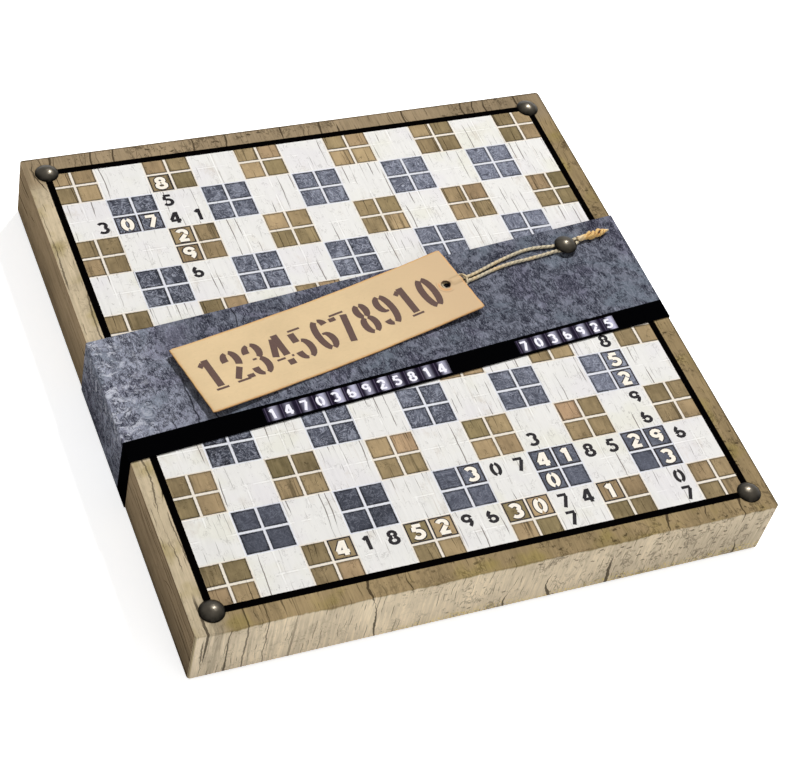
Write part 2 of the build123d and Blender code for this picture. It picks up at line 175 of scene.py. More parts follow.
class StageLook(bpy.types.PropertyGroup):
    """Camera, floor and light."""

    lens: FloatProperty(
        name="Lens", description="Focal length on a 36 mm sensor", default=91.93, unit="CAMERA"
    )
    azimuth: angle_property("Azimuth", "Camera round the case", -33.344)
    elevation: angle_property("Elevation", "Camera above the table", 48.87)
    roll: angle_property("Roll", "Camera about its own axis", 15.783)
    distance: size_property("Distance", "Camera to the point it looks at", 836.0)
    floor: colour_property("Floor", "Floor", 244, 244, 244)


class CaseSettings(bpy.types.PropertyGroup):
    """All sizes and colours of the case."""

    lid_print: PointerProperty(type=LidPrintLook)
    band: PointerProperty(type=BandLook)
    tag: PointerProperty(type=TagLook)
    twine: PointerProperty(type=TwineLook)
    metal: PointerProperty(type=MetalLook)
    inside: PointerProperty(type=InsideLook)
    stage: PointerProperty(type=StageLook)


def box_of(node):
    """Lowest and highest corner of a solid, in millimetres."""
    return [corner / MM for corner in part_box(node)]


# Places and sizes of the solids and of the prints on them, in millimetres and radians
lid_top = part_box("lid_wrap")[1].z / MM
lid_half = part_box("lid_wrap")[1].x / MM
base_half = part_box("base_wrap")[1].x / MM
stud_radius = 5.5
stud_head = 10.2  # the shown heads are a little smaller than the solids
brad_head = 10.3
field_cells = 11  # cells of the field from its middle to its edge
ink_lift = 0.02  # ink above its paper or wood
kraft = tone(176, 146, 104)

band_top = lid_top + 0.6
band_offset = -0.5
band_width = 62.0
band_skew = math.radians(5.2)
band_front = band_offset - band_width / 2
stripe_tile = 7.0
stripe_middle = 4.7  # middle of the stripe's tiles, behind the band's front edge
stripe_rows = ((-66.6, 17.4), (50.4, 99.3))  # first and last X of each row of tiles

brad_place = np.array([95.3, 27.573])
brad_seat = 32.4
twine_level = band_top + 0.9
twine_radius = 0.8
turn_radius = 0.6
tail_root = np.array([brad_place[0] + 7.0, brad_place[1] + 2.3, band_top + 1.6])
tail_turn = math.radians(8.7)

tag_turn = math.radians(12.6)
tag_hole = brad_place + np.array([-63.2, -11.6])
tag_length = 134.5
tag_width = 36.0
tag_curl = 2.6
tag_card_thickness = 0.6
tag_hole_inset = 8.2
tag_hole_radius = 1.9
tag_along = np.array([math.cos(tag_turn), math.sin(tag_turn)])
tag_across = np.array([-math.sin(tag_turn), math.cos(tag_turn)])
tag_middle = tag_hole - (tag_length / 2 - tag_hole_inset) * tag_along


# Finishes


def applied(operation, turned_round=False):
    """A method of Value that applies one operation to it, and to a second number if it has one."""

    def method(self, *others):
        values = (*others, self) if turned_round else (self, *others)
        return self.graph.math(operation, *values)

    return method


class Value:
    """A number worked out at every point of a surface by one shader node. a | b is the larger of
    two of them and a & b the smaller. a.above(edge) is 1 where a is above the edge, and else 0."""

    def __init__(self, graph, socket):
        self.graph = graph
        self.socket = socket

    __add__ = __radd__ = applied("ADD")
    __sub__ = applied("SUBTRACT")
    __rsub__ = applied("SUBTRACT", turned_round=True)
    __mul__ = __rmul__ = applied("MULTIPLY")
    __truediv__ = applied("DIVIDE")
    __or__ = applied("MAXIMUM")
    __and__ = applied("MINIMUM")
    __abs__ = applied("ABSOLUTE")
    above = applied("GREATER_THAN")
    floor = applied("FLOOR")
    fract = applied("FRACT")
    root = applied("SQRT")
    sign = applied("SIGN")
    sine = applied("SINE")

    def ramp(self, low, high):
        """0 at low, 1 at high and a smooth rise between them. It falls where low is above high."""
        rises = low < high
        ends = {1: min(low, high), 2: max(low, high), 3: float(not rises), 4: float(rises)}
        return self.graph.value("ShaderNodeMapRange", {0: self, **ends},
                                interpolation_type="SMOOTHSTEP")

    def line(self, centre, width):
        """1 on a line where this equals centre, fading to 0 at width from it."""
        return abs(self - centre).ramp(width, 0.0)


class Graph:
    """The nodes of a material or a world. Each method adds one and returns its result."""

    def __init__(self, owner, output):
        owner.use_nodes = True
        self.tree = owner.node_tree
        self.tree.nodes.clear()
        self.output = self.node(output)

    def node(self, kind, inputs=None, **settings):
        """A new node with its settings, and with results or constants on its inputs."""
        made = self.tree.nodes.new(kind)
        for key, value in settings.items():
            setattr(made, key, value)
        for key, value in (inputs or {}).items():
            self.put(made.inputs[key], value)
        return made

    def value(self, kind, inputs=None, output=0, **settings):
        """The result of a new node."""
        return Value(self, self.node(kind, inputs, **settings).outputs[output])

    def put(self, socket, value):
        """Links a result to a socket, or sets a constant on it."""
        if isinstance(value, Value):
            self.tree.links.new(value.socket, socket)
        elif isinstance(value, tuple) or hasattr(value, "r"):
            parts = list(value)[:3]
            socket.default_value = parts + [1.0] * (len(socket.default_value) - 3)
        else:
            socket.default_value = value

    def math(self, operation, *values):
        """One operation on one or two numbers."""
        return self.value("ShaderNodeMath", dict(enumerate(values)), operation=operation)

    def parts(self, vector):
        """X, Y and Z of a vector."""
        split = self.node("ShaderNodeSeparateXYZ", {0: vector})
        return [Value(self, socket) for socket in split.outputs]

    def seen(self):
        """1 for the rays of the camera, of reflections and of what is seen through, and else 0."""
        path = self.node("ShaderNodeLightPath").outputs
        camera, glossy, through = [
            Value(self, path[f"Is {ray} Ray"]) for ray in ("Camera", "Glossy", "Transmission")
        ]
        return camera | glossy | through


class Finish(Graph):
    """A material being made."""

    def __init__(self, name, roughness=0.6, specular=0.4, metallic=0.0, sheen=0.0):
        self.material = bpy.data.materials.new(name)
        super().__init__(self.material, "ShaderNodeOutputMaterial")
        self.shader = self.node("ShaderNodeBsdfPrincipled", {
            "Roughness": roughness, "Specular IOR Level": specular, "Metallic": metallic,
            "Sheen Weight": sheen,
        })
        self.tree.links.new(self.shader.outputs[0], self.output.inputs[0])

    def place(self, shift=(0.0, 0.0, 0.0), turn=0.0):
        """X, Y and Z of the point in millimetres, after a shift and a turn about Z."""
        where = self.value("ShaderNodeTexCoord", output="Object")
        scaled = self.value("ShaderNodeMapping", {"Vector": where, "Scale": (1 / MM,) * 3},
                            vector_type="POINT")
        return self.parts(self.value(
            "ShaderNodeMapping",
            {"Vector": scaled, "Location": shift, "Rotation": (0.0, 0.0, turn)},
            vector_type="TEXTURE",
        ))

    def map_place(self, name):
        """U and V of the piece's own map of that name."""
        return self.parts(self.value("ShaderNodeUVMap", uv_map=name))[:2]

    def point(self, x, y, z=0.0):
        """A vector from three numbers."""
        return self.value("ShaderNodeCombineXYZ", {0: x, 1: y, 2: z})

    def noise(self, point, detail, roughness=0.5, distortion=0.0, scale=1.0):
        """Soft noise between 0 and 1, at a point of two or three numbers."""
        return self.value("ShaderNodeTexNoise", {
            "Vector": self.point(*point), "Scale": scale, "Detail": detail,
            "Roughness": roughness, "Distortion": distortion,
        })

    def cells(self, point, scale=1.0):
        """Distance from the nearest of many scattered points."""
        return self.value("ShaderNodeTexVoronoi", {"Vector": self.point(*point), "Scale": scale},
                          "Distance")

    def chance(self, x, y, z=0.0):
        """A random number between 0 and 1 for each whole x, y and z."""
        made = self.node("ShaderNodeTexWhiteNoise")
        self.put(made.inputs["Vector"], self.point(x, y, z))
        return Value(self, made.outputs["Value"])

    def blend(self, first, second, share):
        """The first colour, turning into the second as share goes from 0 to 1."""
        return self.value("ShaderNodeMix", {0: share, 6: first, 7: second}, 2, data_type="RGBA")

    def shade(self, colour, amount):
        """The colour times an amount."""
        grey = self.value("ShaderNodeCombineColor", {0: amount, 1: amount, 2: amount})
        return self.value("ShaderNodeMix", {0: 1.0, 6: colour, 7: grey}, 2, data_type="RGBA",
                          blend_type="MULTIPLY")

    def finish(self, colour, height=None, depth=0.1, roughness=None):
        """Sets the colour, the relief in millimetres and the roughness. Returns the material."""
        self.put(self.shader.inputs["Base Color"], colour)
        if roughness is not None:
            self.put(self.shader.inputs["Roughness"], roughness)
        if height is not None:
            relief = {"Strength": 1.0, "Distance": depth * MM, "Height": height}
            self.put(self.shader.inputs["Normal"], self.value("ShaderNodeBump", relief))
        return self.material


def splits(f, across, along, seed, spacing, width, length, share, rough=1.1):
    """Long thin splits along the grain. The surface is cut into strips of the spacing, which
    waver as much as rough says. Each has one split at a random place in it, open where a slow
    noise is above the share and tapering to its ends."""
    jitter = (f.noise((across * 0.3, along * 0.45, seed), 2.0) - 0.5) * rough
    waver = f.noise((across * 0.012, along * (1.2 / length), seed + 3.0), 1.0) - 0.5
    strip = (across + waver * (spacing * rough * 1.3) + jitter) / spacing
    column = strip.floor()
    away = abs(strip.fract() - (f.chance(column, seed) * 0.6 + 0.2)) * spacing
    gate = f.noise((column * 3.7 + seed, along / length, seed), 2.0)
    return (gate.ramp(share, share + 0.16) * width - away).ramp(0.0, 0.16)


def crackle(f, across, along, seed, scale, width):
    """A net of short fine cracks: the level line of a noise, broken up by a second one."""
    net = f.noise((across * scale, along * scale * 0.6, seed), 4.0, 0.6, 0.6)
    gaps = f.noise((across * scale * 0.6, along * scale * 0.5, seed + 7.0), 2.0)
    return net.line(0.5, width) * gaps.ramp(0.5, 0.58)


def fibres(f, across, along, seed, fine):
    """Fine fibres along the grain, between 0 and 1."""
    return f.noise((across * fine, along * fine * 0.05, seed), 6.0, 0.68, 0.2)


def old_wood(f, look, x, y, z, half):
    """Print of old wood. Its grain runs from front to back over the top, down the front and the
    back, and from front to back on the sides. What lies further from the middle than half is on
    a side or an end. Returns the colour and the relief."""
    on_side = abs(x).above(half)
    on_end = abs(y).above(half)
    drop = lid_top - z
    across = x + x.sign() * drop * on_side
    along = y + y.sign() * drop * on_end
    fibre = fibres(f, across, along, 1.0, 1.1)
    coarse = fibres(f, across, along, 6.0, 0.42)
    broad = f.noise((across * 0.05, along * 0.03, 4.0), 4.0, 0.6)
    patch = f.noise((across * 0.045, along * 0.045, 8.0), 3.0, 0.6)
    left = x.ramp(-108.0, -118.0)
    front_left = x.ramp(-72.0, -96.0) * y.ramp(-104.0, -112.0)
    back = y.ramp(104.0, 112.0)

    # Tones of the rails, the ends and the sides; the sides' darker tone is partly painted shade
    rail = f.blend(look.rail, look.left_rail, left)
    olive = f.noise((x * 0.05, y * 0.05, 33.0), 3.0).ramp(0.5, 0.66)
    rail = f.blend(rail, tone(150, 134, 78), olive * (1.0 - back) * 0.6)
    rail = f.shade(f.blend(rail, tone(150, 132, 105), back), 1.0 - x.ramp(-80.0, 120.0) * 0.14)
    ends = f.shade(look.front, 1.0 - x.ramp(-30.0, 125.0) * 0.18)
    wrapped = on_end * (drop + (broad - 0.5) * 5.0 + (coarse - 0.5) * 2.0).ramp(0.2, 1.6)
    # The sides take their darker tone, partly painted shade
    wood = f.blend(f.blend(rail, ends, wrapped), look.side, on_side)
    stipple = f.cells((x * 1.1, z * 1.1, y)).ramp(0.5, 0.2)
    low = (z + (broad - 0.5) * 14.0).ramp(7.5, 3.0) * x.ramp(-60.0, -30.0)
    wood = f.blend(wood, tone(222, 200, 120), stipple * low * on_end * 0.9)
    amount = (fibre - 0.5) * 0.95 + (coarse - 0.5) * 0.45 + (broad - 0.5) * 0.9
    wood = f.shade(wood, amount * (1.0 - on_side * 0.2) + 1.0)
    streak = fibres(f, across, along, 21.0, 0.2)
    between = 1.0 - streak.ramp(0.5, 0.62) * (on_side * 0.18 | front_left * 0.3)
    # Painted shade on the sides: lighter just below the top edge, darker towards the bottom and
    # towards the front
    side_painted_shade = 0.12 - drop.ramp(4.0, 32.0) * 0.26 - y.ramp(-30.0, -110.0) * 0.22
    wood = f.shade(wood, between * (1.0 + on_side * side_painted_shade))

    # Splits along the grain
    dark = splits(f, across, along, 2.0, 21.0, 0.8, 42.0, 0.5)
    relief = fibre * 0.3 - dark
    fine = splits(f, across, along, 9.0, 2.4, 0.26, 11.0, 0.49, 0.6)
    dark |= fine * (0.7 - on_side * 0.4)
    flow = splits(f, across, along, 81.0, 4.4, 0.44, 50.0, 0.47, 1.3)
    dark |= flow * (left | on_side) * (0.85 - on_side * y.ramp(-70.0, -20.0) * 0.6)
    back_splits = splits(f, across, along, 61.0, 15.0, 0.5, 34.0, 0.38, 0.6)
    thin = splits(f, across, along, 63.0, 5.2, 0.26, 18.0, 0.48, 0.8)
    dark |= (back_splits | thin * 0.8) * back
    rim_gate = f.noise((x * 0.09, y * 0.09, 97.0), 3.0, 0.6)
    outer = ((x | y) + (rim_gate - 0.5) * 1.4).ramp(half - 0.75, half - 0.4)
    dark |= outer * drop.ramp(1.0, 0.4) * 0.75
    deep = splits(f, across, along, 71.0, 4.4, 0.6, 60.0, 0.43, 0.6)
    dark |= deep * front_left

    # Long cracks at places of their own, at the front left and along the left edge
    bend = (f.noise((3.0, along * 0.035, 91.0), 4.0, 0.6) - 0.5) * 9.0
    slip = f.noise((across * 0.1, along * 0.11, 93.0), 4.0, 0.6) - 0.5
    placed = ((x + bend * 0.3 + slip * 2.5).line(-104.0, 0.6)
              | (x - bend * 0.2 + slip * 2.0).line(-111.0, 0.5) * drop.above(1.0))
    placed |= (x + bend * 0.2 - slip * 3.0).line(-96.0, 0.4)
    dark |= placed * y.ramp(-113.0, -116.0) * (1.0 - on_side)
    rim = (across + bend * 0.25).line(-125.6, 0.7) | (across + bend).line(-131.0, 0.7) * 0.9
    dark |= rim * y.ramp(-28.0, -64.0) * left * 0.85

    # Fine net, grit and knots
    net = crackle(f, across, along, 15.0, 0.3, 0.042) | crackle(f, across, along, 17.0, 0.15, 0.03)
    grit = f.cells((across * 0.8, along * 0.5, 3.0)).ramp(0.26, 0.12)
    busy = patch.ramp(0.42, 0.54)
    busy |= x.ramp(-10.0, 60.0) * y.ramp(-108.0, -116.0) * 0.9
    busy = (busy * (x.ramp(-70.0, 20.0) * 0.6 + 0.3)
            | x.ramp(-95.0, -70.0) * x.ramp(10.0, -20.0) * back)
    dark |= net * busy * 0.85
    dark |= grit * patch.ramp(0.46, 0.6) * (0.4 + back * 0.4 - left * 0.2)
    knots = f.cells(((across + fibre * 5.0) * 0.17, along * 0.3 + coarse, 5.0))
    dark |= knots.ramp(0.2, 0.12) * busy * (1.0 - on_side)
    return f.blend(wood, look.crack, dark * 0.82), relief


def base_print(look):
    """The same wood print on the tray, under the lid."""
    f = Finish("base_print", 0.55, 0.1)
    return f.finish(*old_wood(f, look, *f.place(), base_half - 0.2), 0.1)


def lid_print(look):
    """Old wood round a black line, which frames a field of squares. Blocks of four cells are
    white, brown or slate, and pale lines part their cells."""
    f = Finish("lid_print", 0.6, 0.0)
    x, y, z = f.place()
    wood, relief = old_wood(f, look, x, y, z, lid_half - 0.12)
    rough_edge = (f.noise((x, y), 3.0, 0.6, scale=1.1) - 0.5) * 0.7
    reach = (abs(x) | abs(y)) + rough_edge * 0.45
    half = look.field_half / MM
    outer = half + look.line_width / MM
    on_top = z.above(lid_top - 0.4)
    on_line = reach.above(half) * reach.ramp(outer + 0.1, outer - 0.1) * on_top
    on_field = reach.ramp(half + 0.1, half - 0.1) * on_top

    # Cells, and the blocks of two by two that they belong to
    pitch = look.cell_pitch / MM
    column = (x + field_cells * pitch) / pitch
    row = (y + field_cells * pitch) / pitch
    block_column = (column / 2.0).floor()
    block_row = (row / 2.0).floor()
    odd_column = (block_column / 2.0).fract() * 2.0
    odd_row = (block_row / 2.0).fract() * 2.0
    in_x = (column.fract() - 0.5) * pitch
    in_y = (row.fract() - 0.5) * pitch
    from_middle = abs(in_x) | abs(in_y)
    cell_half = look.cell_side / MM / 2
    in_cell = (from_middle + rough_edge * 0.6).ramp(cell_half + 0.14, cell_half - 0.14)
    is_slate = odd_column * odd_row
    is_coloured = (1.0 - odd_column) * (1.0 - odd_row) + is_slate
    cell = (column.floor(), row.floor())
    luck = f.chance(*cell, 1.0)
    block_luck = f.chance(block_column, block_row, 2.0)
    busy = f.chance(block_column, block_row, 3.0)

    # White cells
    shift = block_luck * 50.0
    across = x + shift
    fibre = fibres(f, across, y, 31.0, 0.6)
    hairs = splits(f, across, y, 40.0, 2.5, 0.24, 17.0, 0.5, 0.45)
    lines = splits(f, across, y + shift, 44.0, 5.6, 0.28, 30.0, 0.49, 0.4)
    net = crackle(f, across, y, 50.0, 0.4, 0.02)
    stain = f.noise((x * 0.1, y * 0.06, 47.0), 5.0, 0.65)
    tint = f.noise((x * 0.035, y * 0.035, 57.0), 3.0)
    white = f.blend(look.white, tone(218, 214, 217), tint.ramp(0.5, 0.66) * 0.5)
    white = f.blend(white, tone(221, 219, 208), tint.ramp(0.46, 0.34) * 0.8)
    white = f.blend(white, tone(188, 178, 164), stain.ramp(0.54, 0.78) * (busy * 0.6 + 0.35))
    white = f.blend(white, tone(180, 172, 162), fibre.ramp(0.55, 0.72) * busy * 0.7)
    cross = from_middle.ramp(4.95, 5.05)
    seam = from_middle.line(4.75, 0.14) * stain.ramp(0.47, 0.6) * 0.45
    white = f.blend(white, tone(160, 152, 144), seam)
    white = f.blend(white, tone(250, 249, 246), cross * stain.ramp(0.46, 0.56) * 0.35)
    marks = hairs * (busy * 0.6 + 0.25) | lines * 0.95
    marks |= net * (1.0 - busy * 0.4) * 0.5
    white = f.shade(white, 1.0 + (fibre - 0.5) * (0.12 + busy * 0.3) + (stain - 0.5) * 0.16)
    white = f.blend(white, tone(86, 74, 66), marks * 0.88)

    # Brown cells
    warm = f.blend(tone(130, 118, 84), tone(158, 130, 104), luck)
    brown = f.blend(look.brown, warm, f.chance(*cell, 5.0) * 0.85)
    brown = f.shade(brown, 1.0 + (fibre - 0.5) * 0.7 + (luck - 0.5) * 0.35
                    + (abs(x).ramp(70.0, 25.0) - 0.5) * 0.24 + (stain - 0.5) * 1.4)
    streaks = fibres(f, x + luck * 30.0, y, 35.0, 0.34).ramp(0.52, 0.64)
    brown = f.shade(brown, 1.0 - streaks * f.chance(*cell, 8.0).ramp(0.45, 0.8) * 0.6)
    brown_marks = lines | hairs * 0.6
    brown = f.blend(brown, look.crack, (brown_marks | net * 0.8) * 0.8)

    # Slate cells
    curls = f.noise((x, y, 52.0), 3.0, 0.6, 2.8, scale=0.17)
    flecks = f.noise((x, y * 0.5, 55.0), 4.0, 0.6, 0.8, scale=0.26)
    tall = y.ramp(-100.0, -20.0)
    busy_slate = tall * 0.75 + busy * 0.25
    lean = (x.ramp(-110.0, 110.0) - 0.65) * 0.56
    slate = f.shade(look.slate, 0.5 + luck * 0.18 + block_luck * 0.4 + tall * 0.4 + lean
                    + (flecks - 0.5) * (0.6 + busy_slate * 1.1))
    slate = f.blend(slate, tone(184, 187, 200), curls.line(0.5, 0.03) * (0.06 + busy_slate * 0.62))
    light_flecks = flecks.ramp(0.53, 0.66) * (0.02 + busy_slate * 0.56)
    slate = f.blend(slate, tone(156, 160, 172), light_flecks)
    slate = f.blend(slate, tone(28, 28, 36), curls.ramp(0.57, 0.66) * (0.2 + busy_slate * 0.4))
    slate = f.blend(slate, tone(30, 30, 38), curls.line(0.42, 0.025) * (0.2 + busy_slate * 0.4))

    # Painted shade round the edges of the coloured cells, deepest along their right and front
    # edges, and all of it together
    coloured = f.blend(brown, slate, is_slate)
    painted_edge_shade = in_x | in_y * -1.0
    edge = (from_middle + (stain - 0.5) * 2.0).ramp(cell_half - 1.1, cell_half - 0.1)
    # Painted shade: each coloured cell darkens towards its edges
    coloured = f.shade(coloured, 1.0 - edge * (0.42 + is_slate * 0.14))
    rule = (from_middle + rough_edge).line(cell_half - 0.2, 0.3) * stain.ramp(0.44, 0.56) * 0.6
    coloured = f.blend(coloured, tone(24, 20, 22), rule)
    # Painted shade along the right and front edge of each coloured cell
    coloured = f.shade(coloured, 1.0 - painted_edge_shade.ramp(cell_half - 0.5, cell_half - 0.2) * 0.5)
    gap = f.blend(tone(226, 214, 196), tone(210, 212, 222), is_slate)
    field = f.blend(f.blend(white, gap, is_coloured * 0.7), coloured, in_cell * is_coloured)
    colour = f.blend(f.blend(wood, field, on_field), tone(4, 3, 3), on_line)
    height = relief * (1.0 - on_field) - lines * on_field * 0.5
    return f.finish(colour, height * (1.0 - on_line), 0.1)


def band_print(look):
    """Slate-grey printed paper: mottled and covered with short dark marks that lean three ways,
    with pale scuffs by the left fold, a few splits from front to back, and a black stripe along its
    front edge with two rows of small shaded tiles."""
    f = Finish("band_print", 0.6, 0.0)
    x, y, z = f.place()
    over = x + x.sign() * (band_top - z)
    level = y - x * math.tan(band_skew) - band_front

    def marks(lean, seed, fine):
        """Short strokes that lean by an angle from the direction front to back."""
        u = over * math.cos(lean) + y * math.sin(lean)
        v = y * math.cos(lean) - over * math.sin(lean)
        return f.noise((u * fine, v * fine * 0.17, seed), 3.0, 0.6, 0.1)

    # Mottled ground and leaning strokes
    clouds = f.noise((over * 0.05, y * 0.05, 1.0), 5.0, 0.62, 0.6)
    blots = f.noise((over, y, 12.0), 4.0, 0.6, 0.8, scale=0.2)
    first = marks(0.1, 3.0, 0.9)
    second = marks(-0.42, 6.0, 0.78)
    third = marks(0.6, 9.0, 0.8)
    grit = f.noise((over, y, 5.0), 6.0, 0.76)
    left = x.ramp(-78.0, -112.0)
    calm = blots.ramp(0.5, 0.6) | x.line(-88.0, 12.0) * 0.8
    colour = f.shade(f.blend(look.slate, tone(140, 143, 156), left), 0.86 + clouds * 0.5)
    colour = f.blend(colour, tone(98, 94, 112), clouds.ramp(0.5, 0.62) * 0.5)
    colour = f.blend(colour, tone(94, 104, 114), clouds.ramp(0.47, 0.36) * 0.5)
    colour = f.shade(colour, 1.14 + (blots - 0.5) * 1.0 + (grit - 0.5) * 1.6)
    colour = f.blend(colour, look.pale, first.ramp(0.53, 0.62) * (0.34 + left * 0.5))
    strokes = first.line(0.5, 0.06) | second.line(0.48, 0.05) | third.line(0.45, 0.045)
    deep = strokes * (1.0 - calm * 0.7) * clouds.ramp(0.34, 0.46) * 0.85
    colour = f.blend(colour, look.dark, deep)
    colour = f.blend(colour, look.dark, second.ramp(0.42, 0.34) * 0.35)

    # Net of fine cracks
    slant = over * 0.82 + y * 0.57
    other = y * 0.82 - over * 0.57
    web = (crackle(f, slant, other, 31.0, 0.46, 0.045) | crackle(f, over, y, 37.0, 0.3, 0.034)
           | crackle(f, other, slant, 41.0, 0.24, 0.024))
    colour = f.blend(colour, look.dark, web * (1.0 - calm * 0.4))

    # Scuffs by the left fold, and splits at places of their own
    fold = (abs(over) - lid_half).line(-1.0, 26.0) * x.ramp(0.0, -1.0)
    scuff = f.noise((over * 0.2, y * 0.3, 17.0), 6.0, 0.76, 1.0)
    colour = f.blend(colour, tone(196, 198, 208), scuff.ramp(0.52, 0.6) * fold * 0.9)
    wander = (f.noise((0.0, y * 0.12, 19.0), 3.0) - 0.5) * 9.0
    split = (x + wander * 0.5).line(-93.0, 0.6) * level.ramp(40.0, 26.0)
    split |= (x + wander * 0.5).line(-62.0, 0.5) * level.ramp(46.0, 54.0)
    split |= (x - wander * 0.4).line(-85.0, 0.5) * level.ramp(22.0, 16.0)
    split |= (x - wander * 0.4).line(-103.0, 0.4) * level.ramp(16.0, 12.0)
    split |= (x - wander * 0.6).line(-20.0, 0.4) * level.ramp(19.0, 14.0)
    colour = f.blend(colour, tone(22, 22, 28), split * 0.9)
    # Painted shade: the band is darker where it turns down over the sides of the lid
    on_side = abs(x).above(lid_half - 0.05)
    colour = f.shade(colour, 1.0 - on_side * 0.12)

    # Black stripe with its small tiles
    stripe_width = look.stripe_width / MM
    wave = (f.noise((over, y, 23.0), 2.0, scale=0.9) - 0.5) * 0.3
    on_stripe = (level + wave).ramp(stripe_width + 0.12, stripe_width - 0.12)
    column, late_column = [(x - start) / stripe_tile for start, _ in stripe_rows]
    on_row, on_late_row = [
        x.ramp(start - 0.1, start + 0.1) * x.ramp(stop + 0.1, stop - 0.1)
        for start, stop in stripe_rows
    ]
    share = column.fract() * on_row + late_column.fract() * on_late_row
    luck = f.chance(column.floor(), 1.0, 3.0)
    on_tile = abs(level - stripe_middle).ramp(3.6, 3.4) * (on_row + on_late_row)
    glow = abs(share - 0.5 - luck * 0.25).ramp(0.4, 0.02)
    tile = f.blend(tone(32, 27, 42), tone(184, 182, 204), glow * (0.25 + luck * 0.75))
    tile = f.blend(tile, tone(84, 76, 96), share.line(0.12, 0.05) * 0.8)
    stripe = f.blend(look.stripe, f.shade(tile, 0.7 + grit * 0.6), on_tile)
    colour = f.blend(colour, stripe, on_stripe)
    height = (strokes * 0.6 + grit * 0.3) * (1.0 - on_stripe)
    return f.finish(colour, height, 0.1)


def tag_print(look):
    """Cream card, darker towards its edges, with a ring pressed round the hole and the ridge that
    the twine under it leaves between the hole and the edge. Painted light and shade lie on the
    ring's lower left side, round the hole's edge and along the ridge's flanks."""
    f = Finish("tag_card", 0.6, 0.2)
    u, v, _ = f.place((*tag_middle, 0.0), tag_turn)
    inside = tag_length / 2 - abs(u) & tag_width / 2 - abs(v)
    clouds = f.noise((u * 0.04, v * 0.05, 1.0), 4.0, 0.55)
    grain = f.noise((u * 0.5, v * 1.1, 2.0), 5.0, 0.6)
    colour = f.shade(look.card, 0.94 + (clouds - 0.5) * 0.3 + (grain - 0.5) * 0.14)
    colour = f.blend(colour, tone(196, 166, 128), u.ramp(10.0, 66.0) * 0.75)
    flecks = f.cells((u * 0.4, v * 0.4, 4.0)).ramp(0.09, 0.04)
    colour = f.blend(colour, tone(176, 138, 96), flecks * 0.4)
    edge = (inside + (grain - 0.5) * 1.6).ramp(1.3, 0.0)
    colour = f.blend(colour, look.edge, edge * 0.7)
    colour = f.blend(colour, tone(150, 104, 62), inside.ramp(0.35, 0.05) * 0.5)
    du = u - (tag_length / 2 - tag_hole_inset)
    from_hole = (du * du + v * v).root()
    # Painted light and shade on the lower left side of the pressed ring: an orange crescent on the
    # ring and a darker arc just outside it
    painted_lower_left = (du * -0.8 - v * 0.6).ramp(0.2, 2.2)
    ring = from_hole.line(3.1, 0.8) * painted_lower_left
    groove = from_hole.line(4.2, 0.5) * painted_lower_left
    colour = f.blend(colour, tone(206, 142, 78), ring * 0.7)
    colour = f.blend(colour, tone(150, 108, 72), groove * 0.35)
    # Painted shade darkening the card round the edge of the hole
    colour = f.blend(colour, tone(70, 46, 32), from_hole.ramp(2.4, 1.95) * 0.95)
    ridge = abs(v).ramp(2.4, 0.3) * du.ramp(1.8, 3.2)
    # Painted shade along both flanks of the ridge
    colour = f.shade(colour, 1.0 - abs(v).line(1.9, 0.8) * du.ramp(2.2, 3.6) * 0.14)
    height = grain * 0.12 + ring * 0.5 + ridge * 1.6 - edge * 0.5
    return f.finish(colour, height, 0.14, 0.56 + grain * 0.14)


def ink(name, colour, roughness=0.5):
    """Printed ink, slightly uneven."""
    f = Finish(name, roughness, 0.05)
    uneven = f.noise(f.place(), 4.0, 0.65, scale=1.4)
    return f.finish(f.shade(colour, 0.82 + uneven * 0.36), uneven, 0.03)


def pewter(look, seat):
    """Dark pewter in uneven patches, lighter towards the top of the head and near black at the rim
    as painted shade, with a few dents.
    """
    f = Finish("dark_pewter", look.roughness, metallic=1.0)
    x, y, z = f.place()
    patches = f.noise((x, y, z), 4.0, 0.6, scale=0.4)
    dents = f.noise((x, y, z), 2.0, 0.4, scale=0.5)
    # Painted shade: the base colour falls to near black towards the rim
    unshaded = (z - seat + (patches - 0.5) * 0.8).ramp(0.2, 2.3)
    colour = f.shade(look.pewter, 0.06 + unshaded * 0.9 + (patches - 0.5) * 0.3)
    return f.finish(colour, dents, 0.12, look.roughness + (patches - 0.5) * 0.14)


def washer_steel():
    """Plain steel, brushed along X."""
    f = Finish("washer_steel", 0.35, metallic=1.0)
    x, y, z = f.place()
    brushed = f.noise((x * 6.0, y, z), 3.0)
    return f.finish(f.shade(tone(178, 178, 180), 0.8 + brushed * 0.4))


def twine_fibre(look):
    """Jute: straw-coloured fibres that lie along the strands, with painted shade in the grooves.
    The colour follows the piece's own map, whose U runs along the strand and V round it."""
    f = Finish("jute_twine", 0.85, sheen=0.2)
    along, round_it = f.map_place("strand")
    twist = round_it * 3.0 - along * (3.0 * MM / look.lay)
    fibre = f.noise((along * 0.5, twist * 5.0, 1.0), 4.0, 0.65)
    # Painted shade in the grooves between the strands
    groove = abs(twist.fract() - 0.5).ramp(0.34, 0.5)
    colour = f.blend(look.straw, look.shade, fibre.ramp(0.45, 0.75) * 0.7)
    colour = f.blend(colour, look.shade, groove * 0.7)
    broad = f.noise((along * 0.08, 0.0, 2.0), 2.0)
    colour = f.blend(colour, look.gold, broad.ramp(0.45, 0.7) * 0.5)
    return f.finish(colour, fibre, 0.12)


